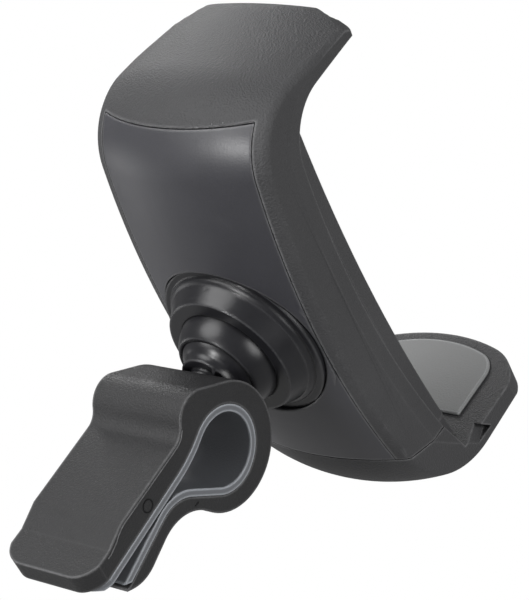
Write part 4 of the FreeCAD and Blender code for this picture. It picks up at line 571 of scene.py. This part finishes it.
studio = {
    "floorZ": -0.32, "floorSize": 6.0, "floorTone": 0.30, "floorRoughness": 0.9,
    "worldLight": 0.26, "glossLight": 0.26, "lampsAimAt": (0.0, -0.035, 0.0),
    "lamps": [
        ("backLamp", (0.09, 0.72, 0.52), 0.20, 4.6),
        ("topLamp", (0.36, 0.20, 0.95), 0.80, 9.5),
        ("sideLamp", (-0.90, -0.15, 0.25), 0.60, 5.8),
        ("farLamp", (0.85, 0.35, -0.12), 0.40, 0.8),
        ("frontLamp", (0.68, -0.66, 0.30), 0.30, 3.0),
    ],
}


def makeWorld():
    world = bpy.data.worlds.new("studioAir")
    bpy.context.scene.world = world
    world.use_nodes = True
    tree = world.node_tree
    background = tree.nodes["Background"]
    background.inputs["Color"].default_value = (1, 1, 1, 1)
    path = addNode(tree, "ShaderNodeLightPath")
    seen = mathNode(tree, "MAXIMUM", path.outputs["Is Camera Ray"], path.outputs["Is Transmission Ray"])
    glossExtra = studio["glossLight"] - studio["worldLight"]
    gloss = mathNode(tree, "MULTIPLY", path.outputs["Is Glossy Ray"], glossExtra)
    plain = mathNode(tree, "ADD", gloss, studio["worldLight"])
    rest = mathNode(tree, "MULTIPLY", seen, 1.0 - studio["worldLight"])
    tree.links.new(mathNode(tree, "ADD", plain, rest), background.inputs["Strength"])


def makeFloor():
    mesh = bpy.data.meshes.new("studioFloor")
    half = studio["floorSize"] / 2
    z = studio["floorZ"]
    corners = [(-half, -half, z), (half, -half, z), (half, half, z), (-half, half, z)]
    mesh.from_pydata(corners, [], [(0, 1, 2, 3)])
    floor = bpy.data.objects.new("studioFloor", mesh)
    bpy.context.scene.collection.objects.link(floor)
    material = bpy.data.materials.new("floorPaint")
    material.use_nodes = True
    tree = material.node_tree
    shader = tree.nodes["Principled BSDF"]
    tone = studio["floorTone"]
    shader.inputs["Base Color"].default_value = (tone, tone, tone, 1)
    shader.inputs["Roughness"].default_value = studio["floorRoughness"]
    glow = addNode(tree, "ShaderNodeEmission")
    glow.inputs["Strength"].default_value = 1.0
    mix = addNode(tree, "ShaderNodeMixShader")
    path = addNode(tree, "ShaderNodeLightPath")
    tree.links.new(path.outputs["Is Camera Ray"], mix.inputs[0])
    tree.links.new(shader.outputs[0], mix.inputs[1])
    tree.links.new(glow.outputs[0], mix.inputs[2])
    tree.links.new(mix.outputs[0], tree.nodes["Material Output"].inputs["Surface"])
    mesh.materials.append(material)


def makeLamps():
    target = Vector(studio["lampsAimAt"])
    for name, place, size, power in studio["lamps"]:
        data = bpy.data.lights.new(name, "AREA")
        data.shape = "DISK"
        data.size = size
        data.energy = power
        lamp = bpy.data.objects.new(name, data)
        lamp.location = place
        lamp.rotation_euler = (target - Vector(place)).to_track_quat("-Z", "Y").to_euler()
        bpy.context.scene.collection.objects.link(lamp)


cameraView = {
    "place": (-0.20199, 0.12036, 0.17727), "lens": 128.986, "sensor": 36.0, "nearest": 0.01,
    "right": (-0.75257728, -0.53608765, -0.38241008),
    "up": (0.10839801, -0.67365711, 0.73105128),
    "back": (-0.64952083, 0.50872009, 0.56508986),
}


def makeCamera():
    data = bpy.data.cameras.new("photoView")
    data.lens = cameraView["lens"]
    data.sensor_width = cameraView["sensor"]
    data.clip_start = cameraView["nearest"]
    camera = bpy.data.objects.new("photoView", data)
    columns = [Vector(cameraView[key]) for key in ("right", "up", "back")]
    turn = Matrix(columns).transposed().to_4x4()
    camera.matrix_world = Matrix.Translation(cameraView["place"]) @ turn
    bpy.context.scene.collection.objects.link(camera)
    bpy.context.scene.camera = camera


makeWorld()
makeFloor()
makeLamps()
makeCamera()
bpy.context.scene.view_settings.view_transform = "Standard"
print("studio ready")
